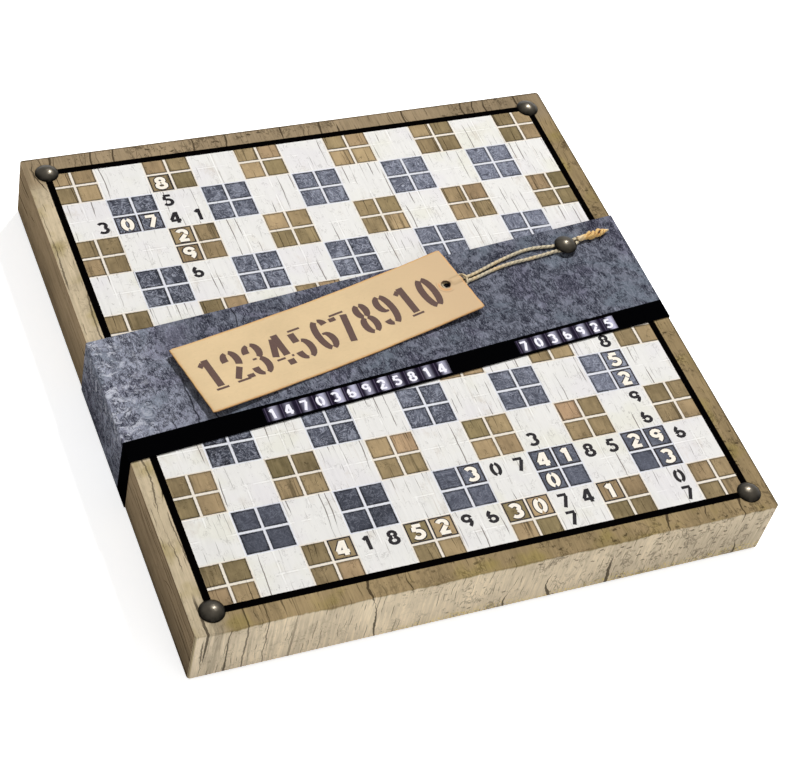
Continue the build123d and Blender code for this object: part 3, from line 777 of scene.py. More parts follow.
def tail_fibre(look):
    """Golden fibres of the twisted tail, paler at its ends, with painted shade close to its axis.
    """
    f = Finish("tail_fibre", 0.8, sheen=0.2)
    x, y, z = f.place(tuple(tail_root), tail_turn)
    fibre = f.noise((x * 1.2, y * 3.0, z * 3.0), 4.0, 0.7)
    from_axis = (y * y + z * z).root()
    # Painted shade between the strands, close to the axis
    deep = from_axis.ramp(1.45, 0.75) * x.ramp(4.0, 6.0) * x.ramp(14.5, 12.5)
    pale = x.ramp(4.5, 2.0) | x.ramp(14.5, 16.5)
    colour = f.blend(look.gold, tone(238, 214, 172), pale * 0.8)
    colour = f.blend(colour, look.shade, fibre.ramp(0.5, 0.75) * 0.6)
    colour = f.blend(colour, tone(244, 224, 176), fibre.ramp(0.45, 0.3) * 0.7)
    colour = f.blend(colour, tone(176, 112, 48), deep * 0.85)
    return f.finish(colour, fibre, 0.15)


def raw_board(name, colour, flecks=0.5):
    """Board or card: pressed fibres with scattered darker flecks."""
    f = Finish(name, 0.85)
    place = f.place()
    pulp = f.noise(place, 5.0, 0.7, scale=0.8)
    fleck = f.cells(place, 0.5).ramp(0.16, 0.06) * pulp.ramp(0.45, 0.6)
    made = f.blend(f.shade(colour, 0.9 + pulp * 0.2), f.shade(colour, 0.55), fleck * flecks)
    return f.finish(made, pulp, 0.05)


def lined_card(look):
    """White-lined card with raw grey cut edges."""
    f = Finish("lined_card", 0.6)
    x, y, z = f.place()
    pulp = f.noise((x, y, z), 5.0, 0.7, scale=0.9)
    cut = z.ramp(24.75, 24.88)
    colour = f.shade(f.blend(look.card, look.greyboard, cut), 0.93 + pulp * 0.14)
    return f.finish(colour, pulp, 0.04)


def plain_wood(name, colour, along_y, pitch, start, roughness=0.45):
    """Planed wood. The pieces of a row, a pitch apart from a start, each have their own tone."""
    f = Finish(name, roughness)
    x, y, z = f.place()
    luck = f.chance(((x - start[0]) / pitch[0]).floor(), ((y - start[1]) / pitch[1]).floor(), 1.0)
    across, along = (x, y) if along_y else (y, x)
    fibre = fibres(f, across + luck * 40.0, along + z, luck * 9.0, 1.3)
    rings = f.noise((across * 0.16 + luck * 30.0, along * 0.014, z * 0.16), 2.0)
    bands = (rings * 11.0).fract() - 0.5
    made = f.shade(colour, 0.72 + fibre * 0.36 + abs(bands) * 0.18 + (luck - 0.5) * 0.2)
    pores = fibre.ramp(0.62, 0.74)
    made = f.blend(made, f.shade(colour, 0.42), pores * 0.5)
    return f.finish(made, fibre - pores, 0.05, roughness + fibre * 0.12)


def board_print(look):
    """Folded game board: dark printed back with a pale rule near the edges, and grey cut edges."""
    f = Finish("board_print", 0.5)
    x, y, z = f.place()
    leather = f.cells((x, y, z), 0.7)
    reach = abs(x) | abs(y)
    colour = f.shade(tone(52, 56, 68), 0.8 + leather * 0.4)
    colour = f.blend(colour, tone(176, 158, 122), reach.line(108.0, 0.6))
    colour = f.blend(colour, look.greyboard, reach.above(117.6))
    return f.finish(colour, leather, 0.08)


def book_cloth():
    """Black woven tape."""
    f = Finish("book_cloth", 0.9)
    x, y, z = f.place()
    weave = (x * 9.0).sine() * ((y + z) * 9.0).sine()
    return f.finish(f.shade(tone(34, 34, 38), 0.9 + weave * 0.2), weave, 0.04)


def leaflet_paper():
    """Folded paper with faint ruled lines."""
    f = Finish("leaflet_paper", 0.7)
    x, y, z = f.place()
    tooth = f.noise((x, y, z), 4.0, 0.7, scale=2.0)
    rule = ((y / 5.0).fract() - 0.5).line(0.0, 0.03)
    inside = abs(x + 40.5).ramp(62.0, 61.5)
    colour = f.blend(tone(236, 233, 224), tone(150, 158, 176), rule * inside * 0.6)
    return f.finish(f.shade(colour, 0.95 + tooth * 0.1), tooth, 0.02)


def pouch_cotton(look):
    """Woven cotton. Warp and weft cross on the piece's own map, in millimetres."""
    f = Finish("slate_cotton", 0.9, sheen=0.3)
    u, v = f.map_place("cloth")
    warp = (u * 10.0).sine()
    weft = (v * 10.0).sine()
    slub = f.noise((u * 0.1, v * 2.0), 3.0)
    weave = warp * weft
    colour = f.shade(look.cotton, 0.84 + weave * 0.16 + (slub - 0.5) * 0.4)
    return f.finish(colour, weave, 0.05)


# Surfaces


def stacked(*parts):
    """Arrays of X, Y and Z, stretched to one shape and put side by side."""
    return np.stack(np.broadcast_arrays(*parts), axis=-1)


def at_height(flat, height=0.0):
    """Points of X and Y, with a height as their Z."""
    return np.concatenate([flat, np.broadcast_to(height, flat.shape[:-1] + (1,))], axis=-1)


def unit(vectors):
    """Vectors of the same directions, each of length 1."""
    return vectors / np.linalg.norm(vectors, axis=-1, keepdims=True)


def angles(steps):
    """Even steps once round, in radians."""
    return np.linspace(0, 2 * np.pi, steps, endpoint=False)


def lengths_along(path):
    """Length of a path up to each of its points."""
    return np.concatenate([[0], np.cumsum(np.linalg.norm(np.diff(path, axis=0), axis=1))])


def lattice(points, wrap_rows=False, wrap_columns=False):
    """Quads over a grid of points of shape (rows, columns, 3). Point i, j is joined to its next
    ones in both directions, and the last to the first where that direction wraps."""
    rows, columns = points.shape[:2]
    index = np.arange(rows * columns).reshape(rows, columns)
    if wrap_rows:
        index = np.vstack([index, index[:1]])
    if wrap_columns:
        index = np.hstack([index, index[:, :1]])
    quads = np.stack([index[:-1, :-1], index[1:, :-1], index[1:, 1:], index[:-1, 1:]], axis=-1)
    return points.reshape(-1, 3), quads.reshape(-1, 4)


def closed_tube(points, first, last):
    """Rows of points round a tube, closed by a fan at each end."""
    ends = [np.broadcast_to(end, (1,) + points.shape[1:]) for end in (first, last)]
    return lattice(np.concatenate([ends[0], points, ends[1]]), wrap_columns=True)


def joined(patches):
    """Several lists of points and quads as one."""
    points, quads, start = [], [], 0
    for patch_points, patch_quads in patches:
        points.append(patch_points)
        quads.append(patch_quads + start)
        start += len(patch_points)
    return np.vstack(points), np.vstack(quads)


def add_object(name, data):
    """A new object of the scene."""
    made = bpy.data.objects.new(name, data)
    bpy.context.scene.collection.objects.link(made)
    return made


def make_mesh(name, points, quads):
    """A mesh from points in millimetres."""
    mesh = bpy.data.meshes.new(name)
    mesh.from_pydata((points * MM).tolist(), [], quads.tolist())
    return mesh


def make_piece(name, patches, material, body, smooth=True, close=True):
    """A mesh object from patches in millimetres, with doubles merged and faces turned outwards."""
    mesh = make_mesh(name, *joined(patches))
    if close:
        work = bmesh.new()
        work.from_mesh(mesh)
        bmesh.ops.remove_doubles(work, verts=work.verts, dist=1e-7)
        bmesh.ops.dissolve_degenerate(work, edges=work.edges, dist=1e-8)
        bmesh.ops.recalc_face_normals(work, faces=work.faces)
        work.to_mesh(mesh)
        work.free()
    mesh.polygons.foreach_set("use_smooth", np.full(len(mesh.polygons), smooth))
    mesh.materials.append(material)
    piece = add_object(name, mesh)
    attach(piece, body)
    return piece


def turned(profile, x, y, steps):
    """A surface of revolution: the point i of the profile at radius r and height z goes to
    x + r cos t, y + r sin t, z for every angle t."""
    t = angles(steps)
    radius, height = profile[:, :1], profile[:, 1:]
    points = stacked(x + radius * np.cos(t), y + radius * np.sin(t), height)
    return lattice(points, wrap_columns=True)


def cap_profile(radius, seat, rise, steps):
    """A spherical cap from its top to its rim: at the angle a from the axis of a ball of radius
    R, the point is R sin a from the axis and R cos a above the ball's centre."""
    ball = (radius**2 + rise**2) / (2 * rise)
    a = np.linspace(0, math.asin(radius / ball), steps)
    return stacked(ball * np.sin(a), seat + rise - ball + ball * np.cos(a))


def pin_profile(diameter, seat, rise, shank):
    """Section of a domed pin from the top of its head to the foot of its shank. The rim is rolled
    under with a small round, and the shank is a list of (radius, height)."""
    wall, roll = 0.8, 0.25
    radius = diameter / 2
    outer = cap_profile(radius, seat + roll, rise - roll, 14)
    t = np.linspace(0, np.pi * 0.8, 6)[1:]
    rim = stacked(radius - roll + roll * np.cos(t * 0.9), seat + roll - roll * np.sin(t))
    inner = cap_profile(radius - wall, seat + 0.1, rise - wall, 10)[::-1]
    inner = inner[inner[:, 0] > shank[0][0] + 0.1]
    return np.vstack([outer, rim, inner, np.array(shank)])


def frames_along(path, over):
    """Side and up at each point of a path. The side is square to the path and to the direction
    over, which the path never follows, and up is square to the side and the path."""
    tangent = unit(np.gradient(path, axis=0))
    side = unit(np.cross(tangent, over))
    return side, np.cross(side, tangent)


def tube(path, radii, steps, lobes, lay, depth, over=(0.0, 0.0, 1.0)):
    """A round section carried along a path. At the angle t the radius is r (1 - d (1 - cos(n (t -
    2 pi s / lay))) / 2), with s the length along the path: n strands laid round each other."""
    side, up = frames_along(path, over)
    run = lengths_along(path)
    t = angles(steps)
    wave = np.cos(lobes * (t - 2 * np.pi * run[:, None] / lay))
    radius = np.broadcast_to(radii, run.shape)[:, None] * (1 - depth * (1 - wave) / 2)
    points = (
        path[:, None]
        + (radius * np.cos(t))[..., None] * side[:, None]
        + (radius * np.sin(t))[..., None] * up[:, None]
    )
    return closed_tube(points, path[0], path[-1])


def spline_path(points, step):
    """Points in millimetres along the smooth line that a NURBS spline makes of its control
    points, evenly spaced at about the step."""
    curve = bpy.data.curves.new("route", "CURVE")
    curve.dimensions = "3D"
    curve.resolution_u = 24
    spline = curve.splines.new("NURBS")
    spline.points.add(len(points) - 1)
    weighted = np.hstack([points * MM, np.ones((len(points), 1))])
    spline.points.foreach_set("co", weighted.ravel())
    spline.order_u = 3
    spline.use_endpoint_u = True
    holder = bpy.data.objects.new("route", curve)
    mesh = bpy.data.meshes.new_from_object(holder)
    line = np.zeros(len(mesh.vertices) * 3)
    mesh.vertices.foreach_get("co", line)
    bpy.data.objects.remove(holder)
    bpy.data.curves.remove(curve)
    bpy.data.meshes.remove(mesh)
    line = line.reshape(-1, 3) / MM
    run = lengths_along(line)
    even = np.linspace(0, run[-1], int(run[-1] / step) + 1)
    return stacked(*(np.interp(even, run, line[:, k]) for k in range(3)))


def map_tube(piece, name, steps, along, width, closed=True):
    """A map on a tube whose points have not been merged. U is the length along it, given for each
    row of points, and V goes from 0 to the width round it."""
    vertex = np.zeros(len(piece.data.loops), dtype=np.int32)
    piece.data.loops.foreach_get("vertex_index", vertex)
    share = vertex % steps / steps
    last_column = np.arange(len(vertex)) // 4 % steps == steps - 1
    share = np.where(closed & last_column & (share == 0), 1.0, share)
    uv = stacked(along[vertex // steps], share * width).astype(np.float32)
    piece.data.uv_layers.new(name=name).data.foreach_set("uv", uv.ravel())


# Numerals: each is a few strokes, in a box 1 high and 0.6 wide. A stroke of six numbers is an arc:
# centre x, centre y, radius x, radius y, first and last angle in degrees. One of four is a straight
# run: x, y, x, y.
NUMERALS = {
    0: [(0.3, 0.5, 0.22, 0.42, -80, 80), (0.3, 0.5, 0.22, 0.42, 100, 260)],
    1: [(0.34, 0.0, 0.34, 1.0), (0.34, 0.93, 0.12, 0.74)],
    2: [(0.3, 0.7, 0.22, 0.22, 160, -38), (0.44, 0.52, 0.1, 0.1), (0.06, 0.08, 0.56, 0.08)],
    3: [(0.28, 0.71, 0.22, 0.21, 150, -70), (0.28, 0.3, 0.24, 0.22, 70, -150)],
    4: [(0.42, 0.0, 0.42, 1.0), (0.36, 0.94, 0.04, 0.32), (0.0, 0.26, 0.6, 0.26)],
    5: [(0.1, 0.92, 0.52, 0.92), (0.14, 0.84, 0.12, 0.54), (0.27, 0.33, 0.25, 0.25, 110, -150)],
    6: [(0.52, 0.5, 0.42, 0.46, 128, 180), (0.3, 0.3, 0.22, 0.22, 184, 530)],
    7: [(0.04, 0.92, 0.56, 0.92), (0.52, 0.82, 0.22, 0.0)],
    8: [(0.3, 0.73, 0.19, 0.19, -80, 260), (0.3, 0.28, 0.24, 0.22, 98, 440)],
    9: [(0.3, 0.7, 0.22, 0.22, 4, 350), (0.08, 0.5, 0.42, 0.46, 0, -52)],
}

# The same for stencilled numerals: their strokes stop short of each other, and end in thin feet
STENCIL = {
    0: [(0.3, 0.5, 0.2, 0.46, -77, 77), (0.3, 0.5, 0.2, 0.46, 103, 257)],
    1: [(0.3, 0.1, 0.3, 0.97), (0.19, 0.89, 0.04, 0.79), (0.08, 0.03, 0.52, 0.03)],
    2: [(0.3, 0.71, 0.2, 0.26, 74, -40), (0.28, 0.74, 0.2, 0.22, 190, 104),
        (0.4, 0.46, 0.12, 0.13), (0.04, 0.05, 0.5, 0.05), (0.56, 0.04, 0.56, 0.16)],
    3: [(0.29, 0.75, 0.19, 0.22, 76, -66), (0.29, 0.28, 0.21, 0.25, 68, -76),
        (0.27, 0.75, 0.22, 0.22, 184, 104), (0.27, 0.27, 0.24, 0.24, 176, 256),
        (0.12, 0.52, 0.26, 0.52)],
    4: [(0.42, 0.0, 0.42, 0.17), (0.42, 0.32, 0.42, 1.0), (0.3, 0.9, 0.04, 0.36),
        (0.0, 0.25, 0.3, 0.25), (0.54, 0.25, 0.62, 0.25)],
    5: [(0.14, 0.57, 0.14, 0.87), (0.1, 0.95, 0.54, 0.95), (0.28, 0.31, 0.22, 0.28, 80, -76),
        (0.26, 0.28, 0.24, 0.25, 180, 256)],
    6: [(0.32, 0.5, 0.22, 0.46, 104, 256), (0.3, 0.28, 0.21, 0.25, -76, 100),
        (0.34, 0.76, 0.2, 0.2, 8, 74)],
    7: [(0.04, 0.95, 0.56, 0.95), (0.06, 0.77, 0.06, 0.89), (0.5, 0.86, 0.24, 0.0)],
    8: [(0.3, 0.75, 0.16, 0.2, -74, 74), (0.3, 0.75, 0.16, 0.2, 106, 254),
        (0.3, 0.28, 0.2, 0.25, -74, 74), (0.3, 0.28, 0.2, 0.25, 106, 254)],
    9: [(0.28, 0.5, 0.22, 0.46, -76, 76), (0.3, 0.72, 0.21, 0.25, 104, 280),
        (0.26, 0.24, 0.2, 0.2, 188, 254)],
}


def stroke_ribbon(stroke, thick, thin, wide, height):
    """A flat ribbon: each point of the stroke's middle line, moved to both sides along the line's
    normal by the thick half width where the line is upright and the thin one where it is level."""
    share = np.linspace(0, 1, 11)
    if len(stroke) == 6:
        x, y, radius_x, radius_y, first, last = stroke
        angle = np.radians(first + (last - first) * share)
        line = stacked(x + radius_x * np.cos(angle), y + radius_y * np.sin(angle))
    else:
        start, stop = np.array(stroke[:2]), np.array(stroke[2:])
        line = start + (stop - start) * share[:, None]
    line = (line - [0.3, 0.5]) * [wide * height, height]
    tangent = unit(np.gradient(line, axis=0))
    normal = stacked(-tangent[:, 1], tangent[:, 0])
    half = thin + (thick - thin) * np.abs(tangent[:, 1:2]) ** 1.5
    sides = np.array([-1.0, 1.0])
    return lattice(at_height(line[:, None] + sides[:, None] * (half * normal)[:, None]))


def numeral_patches(digit, x, y, height, thick, thin, turn=0.0, wide=1.0, table=NUMERALS):
    """The strokes of one numeral, centred at x, y and turned, in millimetres. Each lies a hair
    above the one before it, so that crossing strokes don't share a plane."""
    hair = 0.004
    patches = []
    for order, stroke in enumerate(table[digit]):
        points, quads = stroke_ribbon(stroke, thick, thin, wide, height)
        u, v, level = points.T
        placed = stacked(
            x + u * math.cos(turn) - v * math.sin(turn),
            y + u * math.sin(turn) + v * math.cos(turn),
            level + hair * order,
        )
        patches.append((placed, quads))
    return patches


def square_ring(x, y, half, width):
    """A flat square ring: its outer and inner outlines at the half side and the width within."""
    corner = np.array([[-1, -1], [1, -1], [1, 1], [-1, 1]])
    both = np.stack([corner * half, corner * (half - width)], axis=1) + np.array([x, y])
    return lattice(at_height(both), wrap_rows=True)


def print_numerals(name, patches, level, material, body):
    """A thin layer of ink. The level is a number, or a function of x and y."""
    points, quads = joined(patches)
    points[:, 2] += level(points[:, 0], points[:, 1]) if callable(level) else level
    piece = make_piece(name, [(points, quads)], material, body, smooth=False, close=False)
    solid = piece.modifiers.new("ink_depth", "SOLIDIFY")
    solid.thickness = ink_lift * MM
    solid.offset = -1.0


def soften(name, width):
    """Rounds the sharp edges of a solid's shown mesh, after its loose triangles are welded."""
    node = nodes[name]
    weld = node.modifiers.new("weld", "WELD")
    weld.merge_threshold = 0.001 * MM
    round_off = node.modifiers.new("soft_edges", "BEVEL")
    round_off.width = width * MM
    round_off.segments = 2
    round_off.limit_method = "ANGLE"
    round_off.angle_limit = math.radians(40.0)
    round_off.harden_normals = False


def dress(names, material):
    """Gives the material to solids that are shown as they are."""
    for name in names:
        materials = nodes[name].data.materials
        materials.clear()
        materials.append(material)


class CASE_OT_lid(bpy.types.Operator):
    """Dress the lid: printed wrap, board, tapes and washers"""

    bl_idname = "case.lid"
    bl_label = "Lid"

    def execute(self, context):
        settings = context.scene.tile_case
        dress(["lid_wrap"], lid_print(settings.lid_print))
        soften("lid_wrap", 0.35)
        dress(["lid_board"], raw_board("lid_greyboard", settings.inside.greyboard))
        dress(["lid_corner_tapes"], raw_board("lid_tape", kraft, 0.2))
        dress(["stud_washers"], washer_steel())
        return {"FINISHED"}


class CASE_OT_studs(bpy.types.Operator):
    """Make the four corner studs"""

    bl_idname = "case.studs"
    bl_label = "Corner studs"

    def execute(self, context):
        look = context.scene.tile_case.metal
        low, high = box_of("corner_studs")
        shank = [(1.1, lid_top + 1.2), (1.1, low.z + 0.5), (1.6, low.z + 0.4), (1.45, low.z + 0.1),
                 (1.1, low.z), (0.0, low.z)]
        profile = pin_profile(stud_head, lid_top, (high.z - lid_top) * 0.94, shank)
        reach = high.x - stud_radius
        patches = [
            turned(profile, sx * reach, sy * reach, look.head_steps)
            for sx in (-1, 1)
            for sy in (-1, 1)
        ]
        studs = make_piece("stud_heads", patches, pewter(look, lid_top), "lid")
        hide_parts("corner_studs")
        return {"FINISHED"}


class CASE_OT_field_numerals(bpy.types.Operator):
    """Print the rows of numerals on the squares of the lid"""

    bl_idname = "case.field_numerals"
    bl_label = "Field numerals"

    def execute(self, context):
        settings = context.scene.tile_case
        pitch = settings.lid_print.cell_pitch / MM
        rows = [(column, 18) for column in range(1, 6)]
        rows += [(4, row) for row in (20, 19, 17, 16, 15)]
        rows += [(column, 3) for column in range(11, 21)]
        rows += [(14, row) for row in (4, 2, 0)]
        rows += [(column, 1) for column in range(5, 17)]
        rows += [(19, row) for row in (8, 7, 6, 5, 4, 2, 1, 0)]
        dark, light, outline = [], [], []
        for order, (column, row) in enumerate(rows):
            coloured = (column // 2 + row // 2) % 2 == 0
            x, y = ((value + 0.5 - field_cells) * pitch for value in (column, row))
            digit = (order * 7 + 3) % 10
            y += 1.9 if row == 0 else 0.0  # clear of the black line
            if coloured:
                light += numeral_patches(digit, x, y, 6.9, 0.95, 0.82, wide=1.2)
                outline += numeral_patches(digit, x, y, 7.0, 1.4, 1.25, wide=1.2)
                outline.append(square_ring(x, y, 4.85, 0.55))
            else:
                dark += numeral_patches(digit, x, y, 6.6, 0.8, 0.68, wide=1.15)
        for name, patches, lift, colour in (
            ("numerals_dark", dark, 0.02, ink("dark_ink", tone(24, 20, 24))),
            ("numeral_outlines", outline, 0.025, ink("outline_ink", tone(36, 30, 32))),
            ("numerals_light", light, 0.075, ink("light_ink", tone(236, 228, 214))),
        ):
            print_numerals("field_" + name, patches, lid_top + lift, colour, "lid")
        return {"FINISHED"}


class CASE_OT_band(bpy.types.Operator):
    """Dress the paper band and print the numerals on its stripe"""

    bl_idname = "case.band"
    bl_label = "Band"

    def execute(self, context):
        look = context.scene.tile_case.band
        dress(["band"], band_print(look))
        places = [
            (start + stop) / 2 + (k - (tiles - 1) / 2) * stripe_tile
            for (start, stop), tiles in zip(stripe_rows, (12, 7))
            for k in range(tiles)
        ]
        patches = []
        for order, x in enumerate(places):
            y = band_front + 4.6 + x * math.tan(band_skew)
            patches += numeral_patches((order * 3 + 1) % 10, x, y, 5.0, 0.6, 0.5, band_skew, 1.1)
        print_numerals("band_numerals", patches, band_top + ink_lift,
                       ink("band_ink", tone(232, 230, 238)), "band")
        return {"FINISHED"}


class CASE_OT_brad(bpy.types.Operator):
    """Make the brad: domed head, neck and two legs splayed flat under the band"""

    bl_idname = "case.brad"
    bl_label = "Brad"

    def execute(self, context):
        look = context.scene.tile_case.metal
        low, high = box_of("brad")
        shank = [(1.1, brad_seat + 1.2), (1.1, low.z + 0.1), (0.0, low.z + 0.1)]
        profile = pin_profile(brad_head, brad_seat, high.z - brad_seat, shank)
        head = turned(profile, *brad_place, look.head_steps)
        half_width, reach, thickness = 1.3, 8.5, 0.2
        t = angles(48)
        outline = stacked(half_width * np.cos(t),
                          half_width * np.sin(t) + reach * np.sign(np.sin(t)))
        levels = np.array([low.z, low.z, low.z + thickness, low.z + thickness])
        sizes = np.array([0.0, 1.0, 1.0, 0.0])
        legs = at_height(sizes[:, None, None] * outline + brad_place, levels[:, None, None])
        brad = make_piece("brad_pin", [head, lattice(legs, wrap_columns=True)],
                          pewter(look, brad_seat), "band")
        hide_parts("brad")
        return {"FINISHED"}


def tag_level(x, y):
    """Top of the tag: an arc of radius R about the tag's middle line, R - sqrt(R^2 - u^2) above
    its lowest point, with u the distance along the tag from its middle."""
    radius = ((tag_length / 2) ** 2 + tag_curl**2) / (2 * tag_curl)
    u = (x - tag_middle[0]) * tag_along[0] + (y - tag_middle[1]) * tag_along[1]
    inner = radius - tag_card_thickness
    return band_top + 0.05 + radius - np.sqrt(inner**2 - u**2)


def tag_patch():
    """The card as a closed ring round its hole. Column j runs from the point of the hole's edge
    that faces the outline's point j to that point itself, out over the top and back under the
    bottom. The outline is a rectangle with small round corners and a slight waver. Over the twine
    the card rises by a bell curve of the distance from its middle line."""
    round_points, out_points, back_points = 440, 34, 18
    run = np.linspace(0, 4, round_points, endpoint=False)
    side, share = run.astype(int), run % 1
    corners = np.array([[1, -1], [1, 1], [-1, 1], [-1, -1], [1, -1]], dtype=float)
    square = corners[side] + (corners[side + 1] - corners[side]) * share[:, None]
    half = np.array([tag_length / 2, tag_width / 2])
    waver = 0.12 * np.sin(run * 9.0) * np.sin(run * 23.0 + 1.0) - 0.14
    corner = np.maximum(np.abs(square).min(axis=1) - 0.985, 0.0) * 22.0
    outline = square * (half + (waver - corner)[:, None])
    hole = np.array([tag_length / 2 - tag_hole_inset, 0.0])
    rim = hole + tag_hole_radius * unit(outline - hole)
    out = np.linspace(0, 1, out_points)
    out[[1, -2]] = [0.002, 0.998]
    back = np.linspace(1, 0, back_points)
    edge = 0.1  # height of the rounded edge
    top = np.pad(np.zeros(out_points - 2), 1, constant_values=-edge)
    bottom = np.pad(np.zeros(back_points - 2), 1, constant_values=edge) - tag_card_thickness
    flat = rim + (outline - rim) * np.concatenate([out, back])[:, None, None]
    u, v = flat[..., 0], flat[..., 1]
    x = tag_middle[0] + u * tag_along[0] + v * tag_across[0]
    y = tag_middle[1] + u * tag_along[1] + v * tag_across[1]
    past_hole = np.clip((u - hole[0] - 1.2) / 2.0, 0, 1)
    ridge = 0.4 * np.exp(-((v / 1.5) ** 2)) * past_hole
    z = tag_level(x, y) + ridge + np.concatenate([top, bottom])[:, None]
    return lattice(stacked(x, y, z), wrap_rows=True, wrap_columns=True)


class CASE_OT_tag(bpy.types.Operator):
    """Dress the card tag and print its stencilled numerals"""

    bl_idname = "case.tag"
    bl_label = "Tag"

    def execute(self, context):
        look = context.scene.tile_case.tag
        card = make_piece("tag_card", [tag_patch()], tag_print(look), "tag",
                          close=False)
        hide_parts("tag")
        patches = []
        height = look.numeral_height / MM
        for order, digit in enumerate([1, 2, 3, 4, 5, 6, 7, 8, 9, 1, 0]):
            x, y = tag_middle + (order * 10.7 - 57.0) * tag_along - 0.4 * tag_across
            patches += numeral_patches(digit, x, y, height - 0.6, 1.6, 0.5, tag_turn, 0.78,
                                       STENCIL)
        print_numerals("tag_numerals", patches, lambda x, y: tag_level(x, y) + 0.03,
                       ink("stencil_ink", look.ink), "tag")
        return {"FINISHED"}


# Route of the twine, along X and Y from the brad, and Z from its own middle
LOOP_ROUTE = [
    (6.86, 3.19), (3.4, 2.8), (-0.4, 2.4), (-5.1, 1.0), (-10.7, 1.7), (-18.5, 1.9),
    (-28.3, -0.5), (-39.1, -4.0), (-48.1, -7.3), (-54.7, -8.7), (-60.4, -8.7), (-64.4, -9.2),
    (-64.2, -12.9), (-59.9, -12.9), (-54.3, -10.8), (-47.3, -9.3), (-38.3, -6.4),
    (-28.7, -4.4), (-18.9, -3.7), (-10.3, -2.6), (-4.9, -1.7), (0.1, -2.5), (4.0, -0.3),
    (7.14, 1.41),
]
HITCH_ROUTE = [
    (-59.5, -7.0, 0.0), (-55.3, -6.3, 0.05), (-53.3, -7.6, 1.75), (-52.5, -10.8, 1.75),
    (-53.8, -12.9, 0.05), (-58.0, -14.0, 0.0),
]


class CASE_OT_twine(bpy.types.Operator):
    """Lay the twine: its loop, the turn at the tag's edge and the twisted tail"""

    bl_idname = "case.twine"
    bl_label = "Twine"

    def execute(self, context):
        look = context.scene.tile_case.twine
        fibre = twine_fibre(look)
        loop_path = spline_path(at_height(brad_place + LOOP_ROUTE, twine_level), 0.22)
        hitch_path = spline_path(np.array([*brad_place, twine_level]) + HITCH_ROUTE, 0.2)
        steps = 18
        for name, path, radius, node in (
            ("twine_cord", loop_path, twine_radius, "twine_loop"),
            ("twine_turn", hitch_path, turn_radius, "twine_hitch"),
        ):
            patch = tube(path, radius, steps, 3, look.lay / MM, 0.26)
            piece = make_piece(name, [patch], fibre, "tag", close=False)
            run = lengths_along(path)
            map_tube(piece, "strand", steps, np.pad(run, 1, constant_values=(0, run[-1])), 1.0)
            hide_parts(node)
        tail = self.twisted_tail(look)
        return {"FINISHED"}

    def twisted_tail(self, look):
        """Three strands wound round an axis: strand k is at the angle 2 pi (s / pitch + k / 3), at
        a distance from the axis that swells and then falls with s, and thins towards the tip."""
        along = np.array([math.cos(tail_turn), math.sin(tail_turn), 0.0])
        side = np.array([math.sin(tail_turn), -math.cos(tail_turn), 0.0])
        up = np.array([0.0, 0.0, 1.0])
        s = np.linspace(0.2, 16.9, 130)
        share = s / 17.0
        swell = np.interp(share, [0, 0.3, 0.42, 0.56, 0.7, 0.84, 1.0],
                          [0.6, 0.6, 1.25, 0.85, 1.2, 0.6, 0.1])
        thick = np.interp(share, [0, 0.3, 0.42, 0.56, 0.7, 0.86, 1.0],
                          [0.8, 0.8, 0.9, 0.72, 0.86, 0.5, 0.25])
        patches = []
        for k in range(3):
            turn = 2 * np.pi * (s / 8.5 + k / 3 + 0.06 * np.sin(s * 1.3 + k))
            path = (tail_root + s[:, None] * along + (swell * np.cos(turn))[:, None] * side
                    + (swell * np.sin(turn))[:, None] * up)
            patches.append(tube(path, thick, 12, 3, 2.6, 0.22))
        tail = make_piece("twine_tail_strands", patches, tail_fibre(look), "tag")
        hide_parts("twine_tail")
        return tail


class CASE_OT_base(bpy.types.Operator):
    """Dress the base tray"""

    bl_idname = "case.base"
    bl_label = "Base"

    def execute(self, context):
        settings = context.scene.tile_case
        dress(["base_wrap", "base_bottom_sheet"], base_print(settings.lid_print))
        dress(["base_board"], raw_board("base_greyboard", settings.inside.greyboard))
        dress(["base_corner_tapes"], raw_board("base_tape", kraft, 0.2))
        soften("base_wrap", 0.12)
        return {"FINISHED"}


class CASE_OT_contents(bpy.types.Operator):
    """Dress the board, the insert, the racks and the rules"""

    bl_idname = "case.contents"
    bl_label = "Contents"

    def execute(self, context):
        look = context.scene.tile_case.inside
        dress([f"board_panel_{n}" for n in range(1, 5)], board_print(look))
        dress([f"board_hinge_tape_{n}" for n in range(1, 4)], book_cloth())
        dress(["insert_tray", "long_divider", "short_divider"], lined_card(look))
        racks = [f"tile_rack_{n}" for n in range(1, 5)]
        rack_pitch, rack_start = (19.5, 400.0), (39.2, -200.0)
        dress(racks, plain_wood("beech", look.beech, True, rack_pitch, rack_start, 0.38))
        for rack in racks:
            soften(rack, 0.5)
        dress(["rules_leaflet"], leaflet_paper())
        return {"FINISHED"}


class CASE_OT_tiles(bpy.types.Operator):
    """Dress the letter tiles and print a numeral on each"""

    bl_idname = "case.tiles"
    bl_label = "Tiles"

    def execute(self, context):
        look = context.scene.tile_case.inside
        low, high = box_of("letter_tiles")
        tiles, gap = 10, 0.1  # in a row, and between two of them
        pitch = (high.x - low.x + gap) / tiles
        start = (low.x - gap / 2, low.y - gap / 2)
        wood = plain_wood("maple", look.maple, False, (pitch, pitch), start)
        dress(["letter_tiles"], wood)
        soften("letter_tiles", 0.4)
        patches = []
        for column in range(tiles):
            for row in range(tiles):
                x = start[0] + (column + 0.5) * pitch
                y = start[1] + (row + 0.5) * pitch
                digit = (column * 7 + row * 3) % 10
                patches += numeral_patches(digit, x, y, 8.0, 0.66, 0.5)
        print_numerals("tile_numerals", patches, high.z + ink_lift,
                       ink("tile_ink", look.ink), "base")
        return {"FINISHED"}


